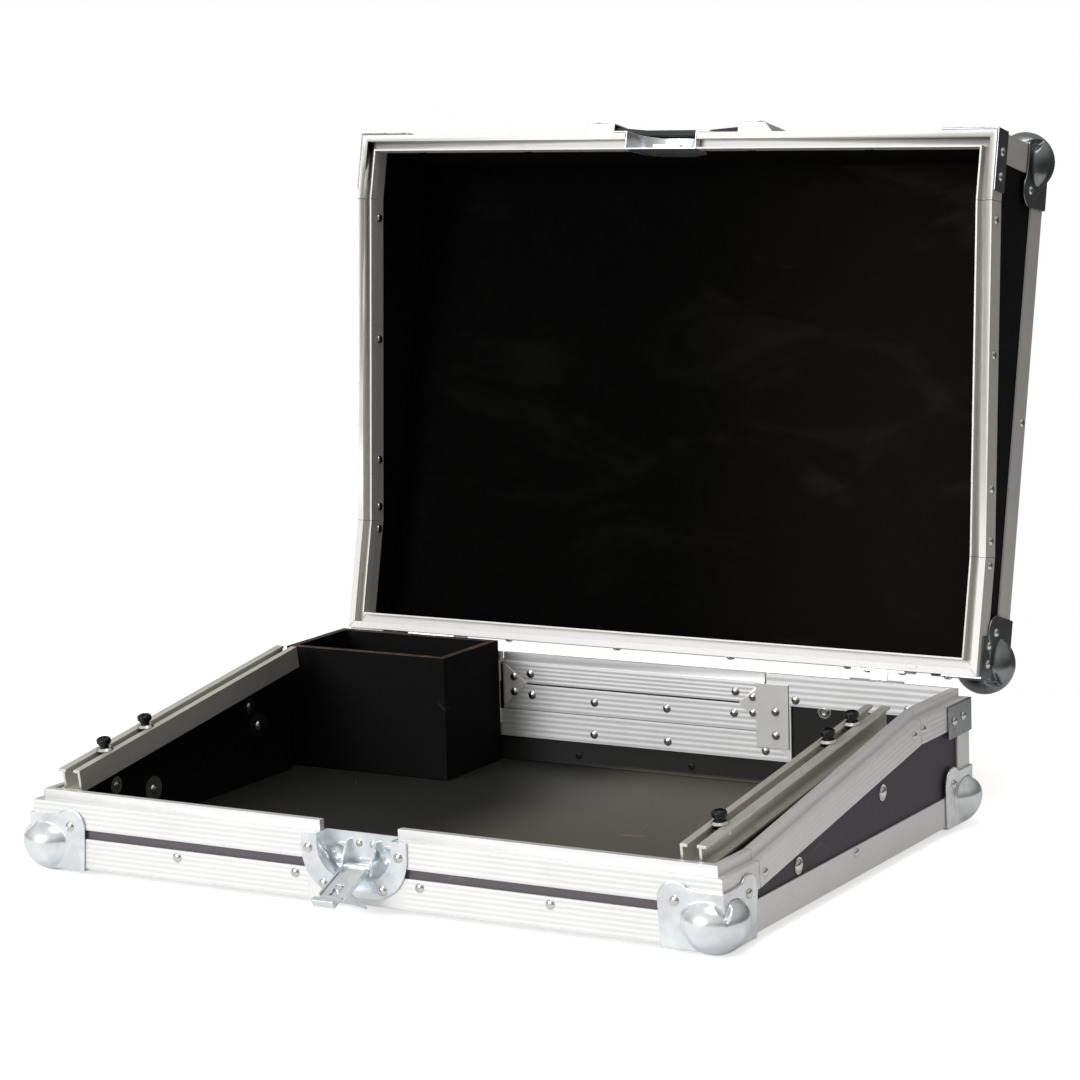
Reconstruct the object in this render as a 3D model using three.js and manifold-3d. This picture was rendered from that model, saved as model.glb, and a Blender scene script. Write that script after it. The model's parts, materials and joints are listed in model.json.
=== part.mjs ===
// Lighting controller flight case: a shallow wedge-sided base with rack rails and a deep lid, open.
// Millimetres, +Z up, +Y to the back of the case, +X to the right hand of whoever stands in front of it.
// Each piece is drawn in the frame of the closed case, whose outer box starts at y = 0 and z = 0.
import * as THREE from "three";
import { mergeVertices } from "three/addons/utils/BufferGeometryUtils.js";
import Module from "manifold-3d";

const wasm = await Module();
wasm.setup();

// Outer box of the closed case, without corner balls and latch
const caseWidth = 510;
const caseDepth = 368;

// The parting line on each side: level, a long slope, level again
const frontLedge = 43;
const rearLedge = 81.5;
const frontLevel = 48;
const rearLevel = 81;

// Height of the lid above the parting line at its back
const lidRearHeight = 53;
const closedHeight = rearLedge + lidRearHeight;

// Boards and extrusions
const board = 6.5;
const sheet = 1.5;
const angleLeg = 20;
const seat = 0.3;
const overrun = 1;

// Rim of the base: a channel over the board's edge, with a ledge and a raised tongue
const rimOuterLeg = 17;
const rimInnerLeg = 15;
const ledgeWidth = 5.2;
const tongueHeight = 6.5;

// Rim of the lid: the same channel with a groove that takes the tongue
const closingGap = 0.4;
const tongueSideGap = 0.5;
const tongueTopGap = 0.5;
const lipSheet = 1.2;
const lipStep = 0.6;
const lidRimInnerLeg = 20;

// Lid hinges at the back
const lidOpenAngle = 102.8;
const hingeOut = 11;
const hingeLift = 0.6;
const hingeInset = 73;
const hingeWidth = 40;
const hingeLeafHeight = 21;
const hingeSheet = 1.5;
const hingeBarrelRadius = 3.5;
const hingePinRadius = 2;
const pinClearance = 0.09;
const knuckleGap = 0.4;

// Corner fittings
const ballRadius = 20;
const ballDepth = 14;
const cornerTrim = 9;
const cornerTrimGap = 0.5;
const cornerSheet = 1.5;
const cornerLength = 41;
const cornerPostHeight = 35;
const cornerPostWidth = 15;
const lobeX = 31;
const lobeZ = 27.5;
const lobeRadius = 12;
const braceSheet = 1.2;
const baseBraceLength = 37;
const baseBraceHeight = 22.5;
const lidBraceLength = 41;
const lidBraceRise = 0.8;

// Butterfly latch on the front
const latchX = -1.5;
const dishHalfWidth = 27.5;
const dishBottom = 15.5;
const dishBottomRadius = 20;
const dishDepth = 10.8;
const dishSheet = 1.2;
const flangeHalfWidth = 39;
const flangeBottom = 4.5;
const flangeBottomRadius = 27;
const lidDishTop = 75;
const latchPivotY = 3.5;
const latchPivotZ = 22.5;
const latchRestAngle = 113;
const latchPinRadius = 1.2;
const latchBarrelRadius = 2.4;
const earSheet = 1.6;
const earReach = 4.2;
const earTop = 38.5;
const earTopDepth = 3;
const carrierHalfWidth = 9.5;
const carrierSheet = 1.2;
const carrierFoot = 3;
const carrierTop = 33;
const carrierFlange = 3;
const axleZ = 24;
const axleRadius = 2.5;
const hookGap = 0.3;
const hookFoot = 9;
const hookTop = 43;
const hookReach = 5.1;
const hookTurnDown = 2.8;
const hookTravel = 5;
const hookSlotHalfWidth = 2.8;
const wingHalfSpan = 14;
const wingHeight = 8.5;
const wingSheet = 2.2;
const wingDiscRadius = 7;
const wingDiscSheet = 1.3;
const keeperHalfWidth = 11;
const keeperY = latchPivotY + carrierFlange + seat;
const keeperSheet = 1.2;
const keeperFootZ = 52.5;
const keeperTopZ = 58.2;

// Strap handle on the front wall of the lid
const handleX = -3;
const handleZ = 84;
const capInnerX = 50;
const capTopLength = 21;
const capSlope = 12;
const capDepth = 34;
const capRise = 13;
const capSheet = 1.5;
const strapDepth = 26;
const strapThick = 4.5;
const strapEndRise = 6;
const strapMiddleRise = 3.9;
const strapEndGap = 4;

// Rack rails on their support boards
const railFrontY = 12.2;
const leftRailInset = 30;
const leftRailRearY = 268;
const leftRailFrontTop = 61.9;
const leftRailAngle = 8.4;
const rightRailInset = 34.2;
const rightRailRearY = 276;
const rightRailFrontTop = 58.6;
const rightRailAngle = 7.1;
const railWidth = 17.8;
const railHeight = 15.5;
const railWall = 2;
const railLip = 5.2;
const railSlot = 6.2;
const railStemSet = 1.2;
const supportThick = 9;

// Rack screws with their cup washers and sliding nuts
const screwShaftRadius = 2.9;
const screwHeadRadius = 4.9;
const screwHeadHeight = 4.2;
const screwHeadLift = 3.2;
const screwTipDepth = 8.5;
const washerRadius = 5.8;
const washerThick = 1.5;
const nutWidth = 9.8;
const nutThick = 4.2;
const leftScrewYs = [51, 96.5];
const rightScrewYs = [49, 201, 237];

// Open cable box behind the left rail
const cableBoxRight = -108;
const cableBoxFront = 280.5;
const cableBoxTop = 97;
const cableBoxWall = 6;
const boxToLip = 0.5;

// Cable hatch in the back wall of the base
const hatchHalfWidth = 105.8;
const hatchBottom = 46.9;
const hatchGap = 0.5;
const sillInnerLeg = 20;
const hatchFace = 18.7;
const stopPlateWidth = 25;
const stopPlateOverlap = 6;
const stopPlateHeight = 45.5;
const stopPlateSheet = 1.2;
const stopPlateDrop = 0.4;
const hatchPinOut = 3.4;
const hatchBarrelRadius = 3;
const hatchPinRadius = 1.5;
const hatchLeafHeight = 14;
const hatchLeafSheet = 1.2;
const hatchHingeHalfLength = 90;
const hatchKnuckles = 5;

// Foam lining under the top of the lid
const liningThick = 4;
const liningGap = 1;

// Facets of round pieces
const roundFacets = 16;
const ballFacets = 20;
const arcSteps = 6;

// Sizes that follow from the ones above
const half = caseWidth / 2;
const toRadians = Math.PI / 180;
const slopeAngle = Math.atan2(rearLedge - frontLedge, caseDepth - frontLevel - rearLevel);
const mitreShift = Math.tan(slopeAngle / 2);
const boardOuter = sheet + seat;
const boardInner = boardOuter + board;
const rimInnerFace = boardInner + seat;
const rimInner = rimInnerFace + sheet;
const lipInner = rimInner + tongueSideGap + lipSheet;
const grooveTop = closingGap + tongueHeight + tongueTopGap;
const hingeY = caseDepth + hingeOut;
const hingeZ = rearLedge + hingeLift;
const hingeX = half - hingeInset;

// Materials
const boardMaterial = { color: 0x2b2a30, roughness: 0.55, metalness: 0 };
const blackMaterial = { color: 0x161514, roughness: 0.9, metalness: 0 };
const aluminium = { color: 0xc9c8c4, roughness: 0.42, metalness: 0.9 };
const railMetal = { color: 0xb4b2ac, roughness: 0.5, metalness: 0.85 };
const zinc = { color: 0xb9c0c8, roughness: 0.25, metalness: 1 };
const screwMaterial = { color: 0x0c0c0d, roughness: 0.3, metalness: 0.4 };
const foam = { color: 0x0d0d0c, roughness: 1, metalness: 0 };
const rubber = { color: 0x2a2a2c, roughness: 0.75, metalness: 0 };

// A closed three.js geometry as a solid that can be joined and cut
function solidOf(geometry) {
  geometry.deleteAttribute("normal");
  geometry.deleteAttribute("uv");
  const merged = mergeVertices(geometry);
  return new wasm.Manifold(new wasm.Mesh({
    numProp: 3,
    vertProperties: merged.attributes.position.array,
    triVerts: new Uint32Array(merged.index.array),
  }));
}

function geometryOf(solid) {
  const mesh = solid.getMesh();
  const stride = mesh.numProp;
  const places = new Float32Array(mesh.numVert * 3);
  for (let i = 0; i < mesh.numVert; i++) {
    places.set(mesh.vertProperties.subarray(i * stride, i * stride + 3), i * 3);
  }
  const geometry = new THREE.BufferGeometry();
  geometry.setAttribute("position", new THREE.BufferAttribute(places, 3));
  geometry.setIndex(new THREE.BufferAttribute(mesh.triVerts, 1));
  return geometry;
}

function joined(solids) {
  return solids.reduce((sum, solid) => sum.add(solid));
}

function block(x0, x1, y0, y1, z0, z1) {
  const geometry = new THREE.BoxGeometry(Math.abs(x1 - x0), Math.abs(y1 - y0), Math.abs(z1 - z0));
  geometry.translate((x0 + x1) / 2, (y0 + y1) / 2, (z0 + z1) / 2);
  return solidOf(geometry);
}

function outline(points) {
  return new THREE.Shape(points.map(([a, b]) => new THREE.Vector2(a, b)));
}

function extruded(shape, depth) {
  return new THREE.ExtrudeGeometry(shape, { depth, bevelEnabled: false, curveSegments: arcSteps });
}

// An outline in (y, z) drawn out along x
function prismX(shape, x0, x1) {
  const geometry = extruded(shape, x1 - x0);
  geometry.applyMatrix4(new THREE.Matrix4().makeBasis(
    new THREE.Vector3(0, 1, 0), new THREE.Vector3(0, 0, 1), new THREE.Vector3(1, 0, 0)));
  geometry.translate(x0, 0, 0);
  return solidOf(geometry);
}

// An outline in (x, z) drawn out along y
function prismY(shape, y0, y1) {
  const geometry = extruded(shape, y1 - y0);
  geometry.applyMatrix4(new THREE.Matrix4().makeBasis(
    new THREE.Vector3(1, 0, 0), new THREE.Vector3(0, 0, 1), new THREE.Vector3(0, -1, 0)));
  geometry.translate(0, y1, 0);
  return solidOf(geometry);
}

// An outline in (x, y) drawn out along z
function prismZ(shape, z0, z1) {
  const geometry = extruded(shape, z1 - z0);
  geometry.translate(0, 0, z0);
  return solidOf(geometry);
}

function cylinderX(radius, x0, x1, y, z) {
  const geometry = new THREE.CylinderGeometry(radius, radius, x1 - x0, roundFacets);
  geometry.rotateZ(Math.PI / 2);
  geometry.translate((x0 + x1) / 2, y, z);
  return solidOf(geometry);
}

function cylinderY(radius, y0, y1, x, z) {
  const geometry = new THREE.CylinderGeometry(radius, radius, y1 - y0, roundFacets);
  geometry.translate(x, (y0 + y1) / 2, z);
  return solidOf(geometry);
}

function cylinderZ(radius, z0, z1, x, y) {
  const geometry = new THREE.CylinderGeometry(radius, radius, z1 - z0, roundFacets);
  geometry.rotateX(Math.PI / 2);
  geometry.translate(x, y, (z0 + z1) / 2);
  return solidOf(geometry);
}

function piece(name, solid, look) {
  const mesh = new THREE.Mesh(geometryOf(solid), new THREE.MeshStandardMaterial(look));
  mesh.name = name;
  return mesh;
}

// The parting line moved square to itself, as [y, z] points from front to back
function partingLine(shift) {
  const bend = shift * mitreShift;
  return [
    [0, frontLedge + shift],
    [frontLevel - bend, frontLedge + shift],
    [caseDepth - rearLevel - bend, rearLedge + shift],
    [caseDepth, rearLedge + shift],
  ];
}

// A rim section is a list of rectangles: inward from the outer face, and up from the ledge
const baseRim = [
  [0, sheet, -rimOuterLeg, 0],
  [0, rimInner, -sheet, 0],
  [rimInnerFace, rimInner, -rimInnerLeg, 0],
  [ledgeWidth, rimInner, -sheet, tongueHeight],
];
const lidRim = [
  [0, sheet, closingGap, rimOuterLeg],
  [0, ledgeWidth - tongueSideGap, closingGap, grooveTop + sheet],
  [0, lipInner, grooveTop, grooveTop + sheet],
  [lipInner - lipSheet, lipInner, closingGap + lipStep, grooveTop + sheet],
  [rimInnerFace, rimInner, grooveTop, lidRimInnerLeg],
];

// Along the back the tongue is narrower, so the lid's lip swings clear of it
const baseRearRim = [...baseRim.slice(0, -1), [ledgeWidth, rimInnerFace, -sheet, tongueHeight]];

// A rim along one side wall, bent with the parting line; side is 1 on the right and -1 on the left.
// Each rectangle stops as far from the ends of the wall as it lies from its outer face.
function sideRim(section, side) {
  return joined(section.map(([u0, u1, v0, v1]) => {
    const band = outline([...partingLine(v0), ...partingLine(v1).reverse()]);
    const xs = [side * (half - u0), side * (half - u1)];
    return prismX(band, Math.min(...xs), Math.max(...xs))
      .intersect(block(-half, half, u0, caseDepth - u0, 0, closedHeight));
  }));
}

// A straight rim along the front or the back wall, between two places along x
function crossRim(section, back, x0, x1) {
  const ledge = back ? rearLedge : frontLedge;
  const depthOf = (u) => (back ? caseDepth - u : u);
  return joined(section.map(([u0, u1, v0, v1]) =>
    block(Math.max(x0, u0 - half), Math.min(x1, half - u0), depthOf(u0), depthOf(u1),
      ledge + v0, ledge + v1)));
}

// The triangle of a corner in plan, on the front or back side of its mitre line
function mitreCutter(side, back, acrossPart) {
  const reach = lipInner + overrun;
  const gap = seat / 2;
  const along = (a) => side * (half - a);
  const into = (b) => (back ? caseDepth - b : b);
  const corner = acrossPart
    ? [[gap - overrun, -overrun], [gap + reach, reach], [-overrun, reach], [-overrun, -overrun]]
    : [[-overrun, gap - overrun], [reach, gap + reach], [reach, -overrun], [-overrun, -overrun]];
  const points = corner.map(([a, b]) => [along(a), into(b)]);
  return prismZ(outline(points), -overrun, closedHeight + overrun);
}

// Each cutter takes away what lies past the 45 degree joint
function mitredCross(solid, back, sides) {
  return sides.reduce((left, side) => left.subtract(mitreCutter(side, back, true)), solid);
}

function mitredSide(solid, side) {
  return solid.subtract(mitreCutter(side, false, false)).subtract(mitreCutter(side, true, false));
}

// The latch dish seen from the front: straight sides with a round bottom; z may run up or down
function dishOutline(halfWidth, top, bottom, radius) {
  const turn = Math.sign(top - bottom);
  const shape = new THREE.Shape();
  shape.moveTo(latchX - halfWidth, top);
  shape.lineTo(latchX - halfWidth, bottom + turn * radius);
  const start = Math.PI;
  const end = turn * 1.5 * Math.PI;
  if (turn > 0) {
    shape.absarc(latchX - halfWidth + radius, bottom + radius, radius, start, end, false);
    shape.absarc(latchX + halfWidth - radius, bottom + radius, radius, end, 2 * Math.PI, false);
  } else {
    shape.absarc(latchX - halfWidth + radius, bottom - radius, radius, start, Math.PI / 2, true);
    shape.absarc(latchX + halfWidth - radius, bottom - radius, radius, Math.PI / 2, 0, true);
  }
  shape.lineTo(latchX + halfWidth, top);
  return shape;
}

// The hole that a latch dish needs through wall, rim and edge angle
function dishHole(top, bottom) {
  const grow = Math.sign(top - bottom) * (dishSheet + seat);
  return prismY(
    dishOutline(dishHalfWidth + dishSheet + seat, top, bottom - grow, dishBottomRadius),
    -overrun, dishDepth + dishSheet + overrun);
}

const baseDishHole = dishHole(frontLedge + tongueHeight + overrun, dishBottom);
const lidDishHole = dishHole(frontLedge - overrun, lidDishTop);

// Pan and flange of one latch half
function dishShell(top, bottom, flangeEnd) {
  const turn = Math.sign(top - bottom);
  const inner = (mouth) => dishOutline(dishHalfWidth, mouth, bottom, dishBottomRadius);
  const outer = dishOutline(dishHalfWidth + dishSheet, top, bottom - turn * dishSheet, dishBottomRadius);
  const flange = dishOutline(flangeHalfWidth, top, flangeEnd, flangeBottomRadius);
  const shell = prismY(outer, -seat - dishSheet, dishDepth + dishSheet)
    .add(prismY(flange, -seat - dishSheet, -seat));
  return shell.subtract(prismY(inner(top + turn * overrun), -seat - dishSheet - overrun, dishDepth));
}

// Boards and edge angles stop short of each ball
function cornerTrims() {
  const cubes = [];
  for (const side of [-1, 1]) {
    for (const y of [0, caseDepth - cornerTrim]) {
      for (const z of [0, closedHeight - cornerTrim]) {
        cubes.push(block(side * half, side * (half - cornerTrim), y, y + cornerTrim, z, z + cornerTrim));
      }
    }
  }
  return joined(cubes);
}

const balls = cornerTrims();

// Base: boards

function baseBottomPanel() {
  return block(-half + boardOuter, half - boardOuter, boardOuter, caseDepth - boardOuter,
    boardOuter, boardInner).subtract(balls);
}

function baseFrontPanel() {
  return block(-half + boardOuter, half - boardOuter, boardOuter, boardInner,
    boardInner + seat, frontLedge - sheet - seat).subtract(baseDishHole).subtract(balls);
}

// The back board has a notch from its top edge for the cable hatch
function baseRearPanel() {
  const notchHalf = hatchHalfWidth + hatchGap + sheet + seat;
  const wall = block(-half + boardOuter, half - boardOuter, caseDepth - boardInner,
    caseDepth - boardOuter, boardInner + seat, rearLedge - sheet - seat);
  const notch = block(-notchHalf, notchHalf, caseDepth - boardInner - overrun, caseDepth,
    hatchBottom - hatchGap - sheet - seat, rearLedge);
  return wall.subtract(notch).subtract(balls);
}

function baseSidePanel(side) {
  const top = partingLine(-sheet - seat);
  const yFront = boardInner + seat;
  const yRear = caseDepth - boardInner - seat;
  const shape = outline([
    [yFront, boardInner + seat],
    [yRear, boardInner + seat],
    [yRear, top[3][1]],
    top[2],
    top[1],
    [yFront, top[0][1]],
  ]);
  const xs = [side * (half - boardOuter), side * (half - boardInner)];
  return prismX(shape, Math.min(...xs), Math.max(...xs)).subtract(balls);
}

// Edge angles: a ring round one face of the box, with posts along the upright corners
function angleRing(z0, z1, openLow) {
  const faceZ = openLow ? z0 : z1;
  const webZ = openLow ? z0 + sheet : z1 - sheet;
  const outer = block(-half, half, 0, caseDepth, z0, z1);
  const cavity = block(-half + sheet, half - sheet, sheet, caseDepth - sheet,
    openLow ? webZ : z0 - overrun, openLow ? z1 + overrun : webZ);
  const window = block(-half + angleLeg, half - angleLeg, angleLeg, caseDepth - angleLeg,
    faceZ - overrun, faceZ + overrun + sheet).add(block(-half + angleLeg, half - angleLeg, angleLeg,
    caseDepth - angleLeg, faceZ - sheet - overrun, faceZ + overrun));
  return outer.subtract(cavity).subtract(window);
}

function cornerPost(side, back, z0, z1) {
  const depthOf = (b) => (back ? caseDepth - b : b);
  const sidePart = block(side * half, side * (half - sheet), depthOf(0), depthOf(angleLeg), z0, z1);
  const endPart = block(side * half, side * (half - angleLeg), depthOf(0), depthOf(sheet), z0, z1);
  return sidePart.add(endPart);
}

function baseEdgeFrame() {
  const posts = [];
  for (const side of [-1, 1]) {
    posts.push(cornerPost(side, false, angleLeg - overrun, frontLedge - rimOuterLeg - seat));
    posts.push(cornerPost(side, true, angleLeg - overrun, rearLedge - rimOuterLeg - seat));
  }
  return joined([angleRing(0, angleLeg, true), ...posts]).subtract(baseDishHole).subtract(balls);
}

function lidEdgeFrame() {
  const posts = [];
  const low = closedHeight - angleLeg;
  for (const side of [-1, 1]) {
    posts.push(cornerPost(side, false, frontLedge + rimOuterLeg + seat, low + overrun));
    posts.push(cornerPost(side, true, rearLedge + rimOuterLeg + seat, low + overrun));
  }
  return joined([angleRing(low, closedHeight, false), ...posts]).subtract(balls);
}

// Base: rims

function baseRimFront(side) {
  const full = crossRim(baseRim, false, Math.min(0, side * half), Math.max(0, side * half));
  const ownSide = side > 0 ? block(latchX, half, -overrun, lipInner, 0, closedHeight)
    : block(-half, latchX, -overrun, lipInner, 0, closedHeight);
  return mitredCross(full, false, [side]).subtract(baseDishHole).intersect(ownSide);
}

function baseRimRear(side) {
  const inner = hatchHalfWidth + hatchGap + sheet + seat;
  const xs = [side * inner, side * half];
  return mitredCross(crossRim(baseRearRim, true, Math.min(...xs), Math.max(...xs)), true, [side]);
}

// Corner fittings: three lobed plates that meet over a ball

function lobedPlate() {
  const shape = new THREE.Shape();
  shape.moveTo(0, 0);
  shape.lineTo(cornerLength, 0);
  shape.lineTo(lobeX + lobeRadius, lobeZ);
  shape.absarc(lobeX, lobeZ, lobeRadius, 0, Math.PI / 2 + Math.PI / 4, false);
  shape.lineTo(cornerPostWidth, cornerPostHeight);
  shape.lineTo(0, cornerPostHeight);
  return shape;
}

// The flat plate under the case: the same fitting seen from below
function solePlate() {
  const shape = new THREE.Shape();
  shape.moveTo(0, 0);
  shape.lineTo(cornerLength, 0);
  shape.lineTo(cornerLength, cornerPostWidth);
  shape.lineTo(cornerPostWidth, cornerLength);
  shape.lineTo(0, cornerLength);
  return shape;
}

// The fitting at the lower front left corner, turned into place by mirroring its outlines
function ballCorner(side, back, top) {
  const out = -seat - cornerSheet;
  const lobe = lobedPlate();
  const endPlate = prismY(lobe, out, -seat);
  const sidePlate = prismX(lobe, out, -seat);
  const sole = prismZ(solePlate(), out, -seat);
  const ballGeometry = new THREE.SphereGeometry(ballRadius, ballFacets, ballFacets / 2);
  ballGeometry.translate(ballDepth, ballDepth, ballDepth);
  const reach = cornerLength + lobeRadius;
  const fill = cornerTrim - cornerTrimGap;
  const inside = block(-seat, reach, -seat, reach, -seat, reach)
    .subtract(block(out, fill, out, fill, out, fill));
  const plates = joined([
    endPlate, sidePlate, sole,
    block(out, 0, out, 0, 0, cornerPostHeight),
    block(0, cornerLength, out, 0, out, 0),
    block(out, 0, 0, cornerLength, out, 0),
  ]).subtract(block(out - overrun, ballDepth, out - overrun, ballDepth, out - overrun, ballDepth));
  const fitting = plates.add(solidOf(ballGeometry)).subtract(inside);
  const geometry = geometryOf(fitting);
  const flips = new THREE.Vector3(side < 0 ? 1 : -1, back ? -1 : 1, top ? -1 : 1);
  geometry.scale(flips.x, flips.y, flips.z);
  if (flips.x * flips.y * flips.z < 0) {
    const order = geometry.index.array;
    for (let i = 0; i < order.length; i += 3) {
      [order[i + 1], order[i + 2]] = [order[i + 2], order[i + 1]];
    }
  }
  geometry.translate(side * half, back ? caseDepth : 0, top ? closedHeight : 0);
  return solidOf(geometry);
}

// A bent plate round an upright corner at the rim
function braceCorner(side, back, z0, z1, length) {
  const depthOf = (b) => (back ? caseDepth - b : b);
  const out = seat + braceSheet;
  const sidePart = block(side * (half + seat), side * (half + out), depthOf(-out), depthOf(length), z0, z1);
  const endPart = block(side * (half + out), side * (half - length), depthOf(-seat), depthOf(-out), z0, z1);
  return sidePart.add(endPart);
}

// Rack rails and their support boards, in a frame that lies along the rail

const railFloor = -railHeight;
const leftRail = {
  side: -1,
  innerX: half - leftRailInset,
  rearY: leftRailRearY,
  frontTop: leftRailFrontTop,
  tilt: leftRailAngle * toRadians,
};
const rightRail = {
  side: 1,
  innerX: half - rightRailInset,
  rearY: rightRailRearY,
  frontTop: rightRailFrontTop,
  tilt: rightRailAngle * toRadians,
};

function railFrame(rail) {
  const group = new THREE.Group();
  group.position.set(0, railFrontY, rail.frontTop);
  group.rotation.x = rail.tilt;
  return group;
}

function rackRail({ side, innerX, rearY, tilt }) {
  const length = (rearY - railFrontY) / Math.cos(tilt);
  const slotEnd = railLip + railSlot;
  const bar = (s0, s1, z0, z1) =>
    block(side * (innerX + s0), side * (innerX + s1), 0, length, z0, z1);
  return joined([
    bar(0, railWall, railFloor, 0),
    bar(0, railLip, -railWall, 0),
    bar(slotEnd, railWidth, -railWall, 0),
    bar(slotEnd + railStemSet, slotEnd + railStemSet + railWall, railFloor, 0),
    bar(0, railWidth, railFloor, railFloor + railWall),
  ]);
}

// The upright board beside each rail carries it along its sloping top edge
function railSupport({ side, rearY, frontTop, tilt }) {
  const drop = (railHeight + seat) / Math.cos(tilt);
  const topAt = (y) => frontTop - drop + (y - railFrontY) * Math.tan(tilt);
  const shape = outline([
    [railFrontY, boardInner + seat],
    [rearY, boardInner + seat],
    [rearY, topAt(rearY)],
    [railFrontY, topAt(railFrontY)],
  ]);
  const outerX = half - lipInner - boxToLip;
  const xs = [side * outerX, side * (outerX - supportThick)];
  return prismX(shape, Math.min(...xs), Math.max(...xs));
}

// Screw, cup washer and sliding nut of one rack hole, standing in the slot
function rackScrew({ side, innerX, tilt }, y) {
  const along = (y - railFrontY) / Math.cos(tilt);
  const x = side * (innerX + railLip + railSlot / 2);
  const nutTop = -railWall - seat;
  const washerTop = seat + washerThick;
  const headFoot = washerTop + screwHeadLift;
  const nutX = x - side * (railSlot / 2 - railStemSet) / 2;
  return joined([
    cylinderZ(screwShaftRadius, -screwTipDepth, headFoot + overrun, x, along),
    cylinderZ(screwHeadRadius, headFoot, headFoot + screwHeadHeight, x, along),
    cylinderZ(washerRadius, seat, washerTop, x, along),
    block(nutX - nutWidth / 2, nutX + nutWidth / 2, along - nutWidth / 2, along + nutWidth / 2,
      nutTop - nutThick, nutTop),
  ]);
}

// Open-topped box for cables
function cableBox() {
  const left = -half + lipInner + boxToLip;
  const rear = caseDepth - lipInner - boxToLip;
  const low = boardInner + seat;
  return block(left, cableBoxRight, cableBoxFront, rear, low, cableBoxTop).subtract(
    block(left + cableBoxWall, cableBoxRight - cableBoxWall, cableBoxFront + cableBoxWall,
      rear - cableBoxWall, low - overrun, cableBoxTop + overrun));
}

// Cable hatch: channel round the notch, with a flat plate on each side that stops the flap
function hatchSurround() {
  const inX = hatchHalfWidth + hatchGap;
  const sill = hatchBottom - hatchGap;
  const legs = (y0, y1, width) => {
    const outer = block(-inX - width, inX + width, y0, y1, sill - width, rearLedge - sheet - seat);
    return outer.subtract(block(-inX, inX, y0 - overrun, y1 + overrun, sill, rearLedge));
  };
  const outerLegs = legs(caseDepth - sheet, caseDepth, rimOuterLeg)
    .intersect(block(-half, half, 0, caseDepth, 0, rearLedge - rimOuterLeg - seat));
  const innerLegs = legs(caseDepth - rimInner, caseDepth - rimInnerFace, sillInnerLeg)
    .intersect(block(-half, half, 0, caseDepth, 0, rearLedge - rimInnerLeg - seat));
  const web = legs(caseDepth - rimInner, caseDepth, sheet);
  const plates = [-1, 1].map((side) => {
    const inner = side * (hatchHalfWidth - stopPlateOverlap);
    const top = rearLedge - stopPlateDrop;
    const face = caseDepth - rimInner;
    return block(inner, inner + side * stopPlateWidth, face - stopPlateSheet, face,
      top - stopPlateHeight, top);
  });
  return joined([outerLegs, innerLegs, web, ...plates]);
}

function hatchPanel() {
  const inset = sheet + seat;
  return block(-hatchHalfWidth + inset, hatchHalfWidth - inset,
    caseDepth - boardInner + seat, caseDepth - boardOuter,
    hatchBottom + inset, rearLedge - sheet - seat);
}

// Channel round the flap: inner and outer faces, edges, and the tongue along its top
function hatchFrame() {
  const face = (y0, y1, width) => block(-hatchHalfWidth, hatchHalfWidth, y0, y1, hatchBottom, rearLedge)
    .subtract(block(-hatchHalfWidth + width, hatchHalfWidth - width, y0 - overrun, y1 + overrun,
      hatchBottom + width, rearLedge - Math.min(width, rimInnerLeg)));
  const outerFace = face(caseDepth - sheet, caseDepth, hatchFace - sheet);
  const innerFace = face(caseDepth - rimInner + seat, caseDepth - rimInnerFace + seat, hatchFace);
  const edges = face(caseDepth - rimInner + seat, caseDepth, sheet);
  const tongue = block(-hatchHalfWidth, hatchHalfWidth, caseDepth - rimInnerFace,
    caseDepth - ledgeWidth, rearLedge - sheet, rearLedge + tongueHeight);
  return joined([outerFace, innerFace, edges, tongue]);
}

// Knuckles along a pin, odd ones on one leaf and even ones on the other
function knuckles(radius, bore, halfLength, count, parity, y, z) {
  const pitch = (2 * halfLength) / count;
  const own = [];
  for (let i = parity; i < count; i += 2) {
    const x0 = -halfLength + i * pitch + knuckleGap / 2;
    const x1 = -halfLength + (i + 1) * pitch - knuckleGap / 2;
    const barrel = cylinderX(radius, x0, x1, y, z);
    own.push(bore > 0 ? barrel.subtract(cylinderX(bore, x0 - overrun, x1 + overrun, y, z)) : barrel);
  }
  return own;
}

const hatchPinY = caseDepth + hatchPinOut;
const hatchPinZ = hatchBottom - hatchGap / 2;

function hatchLeafFixed() {
  const leafTop = hatchPinZ - hatchBarrelRadius - seat;
  const leaf = block(-hatchHingeHalfLength, hatchHingeHalfLength, caseDepth + seat,
    caseDepth + seat + hatchLeafSheet, leafTop - hatchLeafHeight, leafTop);
  const barrels = knuckles(hatchBarrelRadius, hatchPinRadius + pinClearance, hatchHingeHalfLength,
    hatchKnuckles, 0, hatchPinY, hatchPinZ);
  const pitch = (2 * hatchHingeHalfLength) / hatchKnuckles;
  const necks = [];
  for (let i = 0; i < hatchKnuckles; i += 2) {
    const x0 = -hatchHingeHalfLength + i * pitch + knuckleGap / 2;
    necks.push(block(x0, x0 + pitch - knuckleGap, caseDepth + seat, caseDepth + seat + hatchLeafSheet,
      leafTop - overrun, hatchPinZ));
  }
  const bore = cylinderX(hatchPinRadius + pinClearance, -half, half, hatchPinY, hatchPinZ);
  return joined([leaf, ...necks, ...barrels]).subtract(bore);
}

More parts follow.
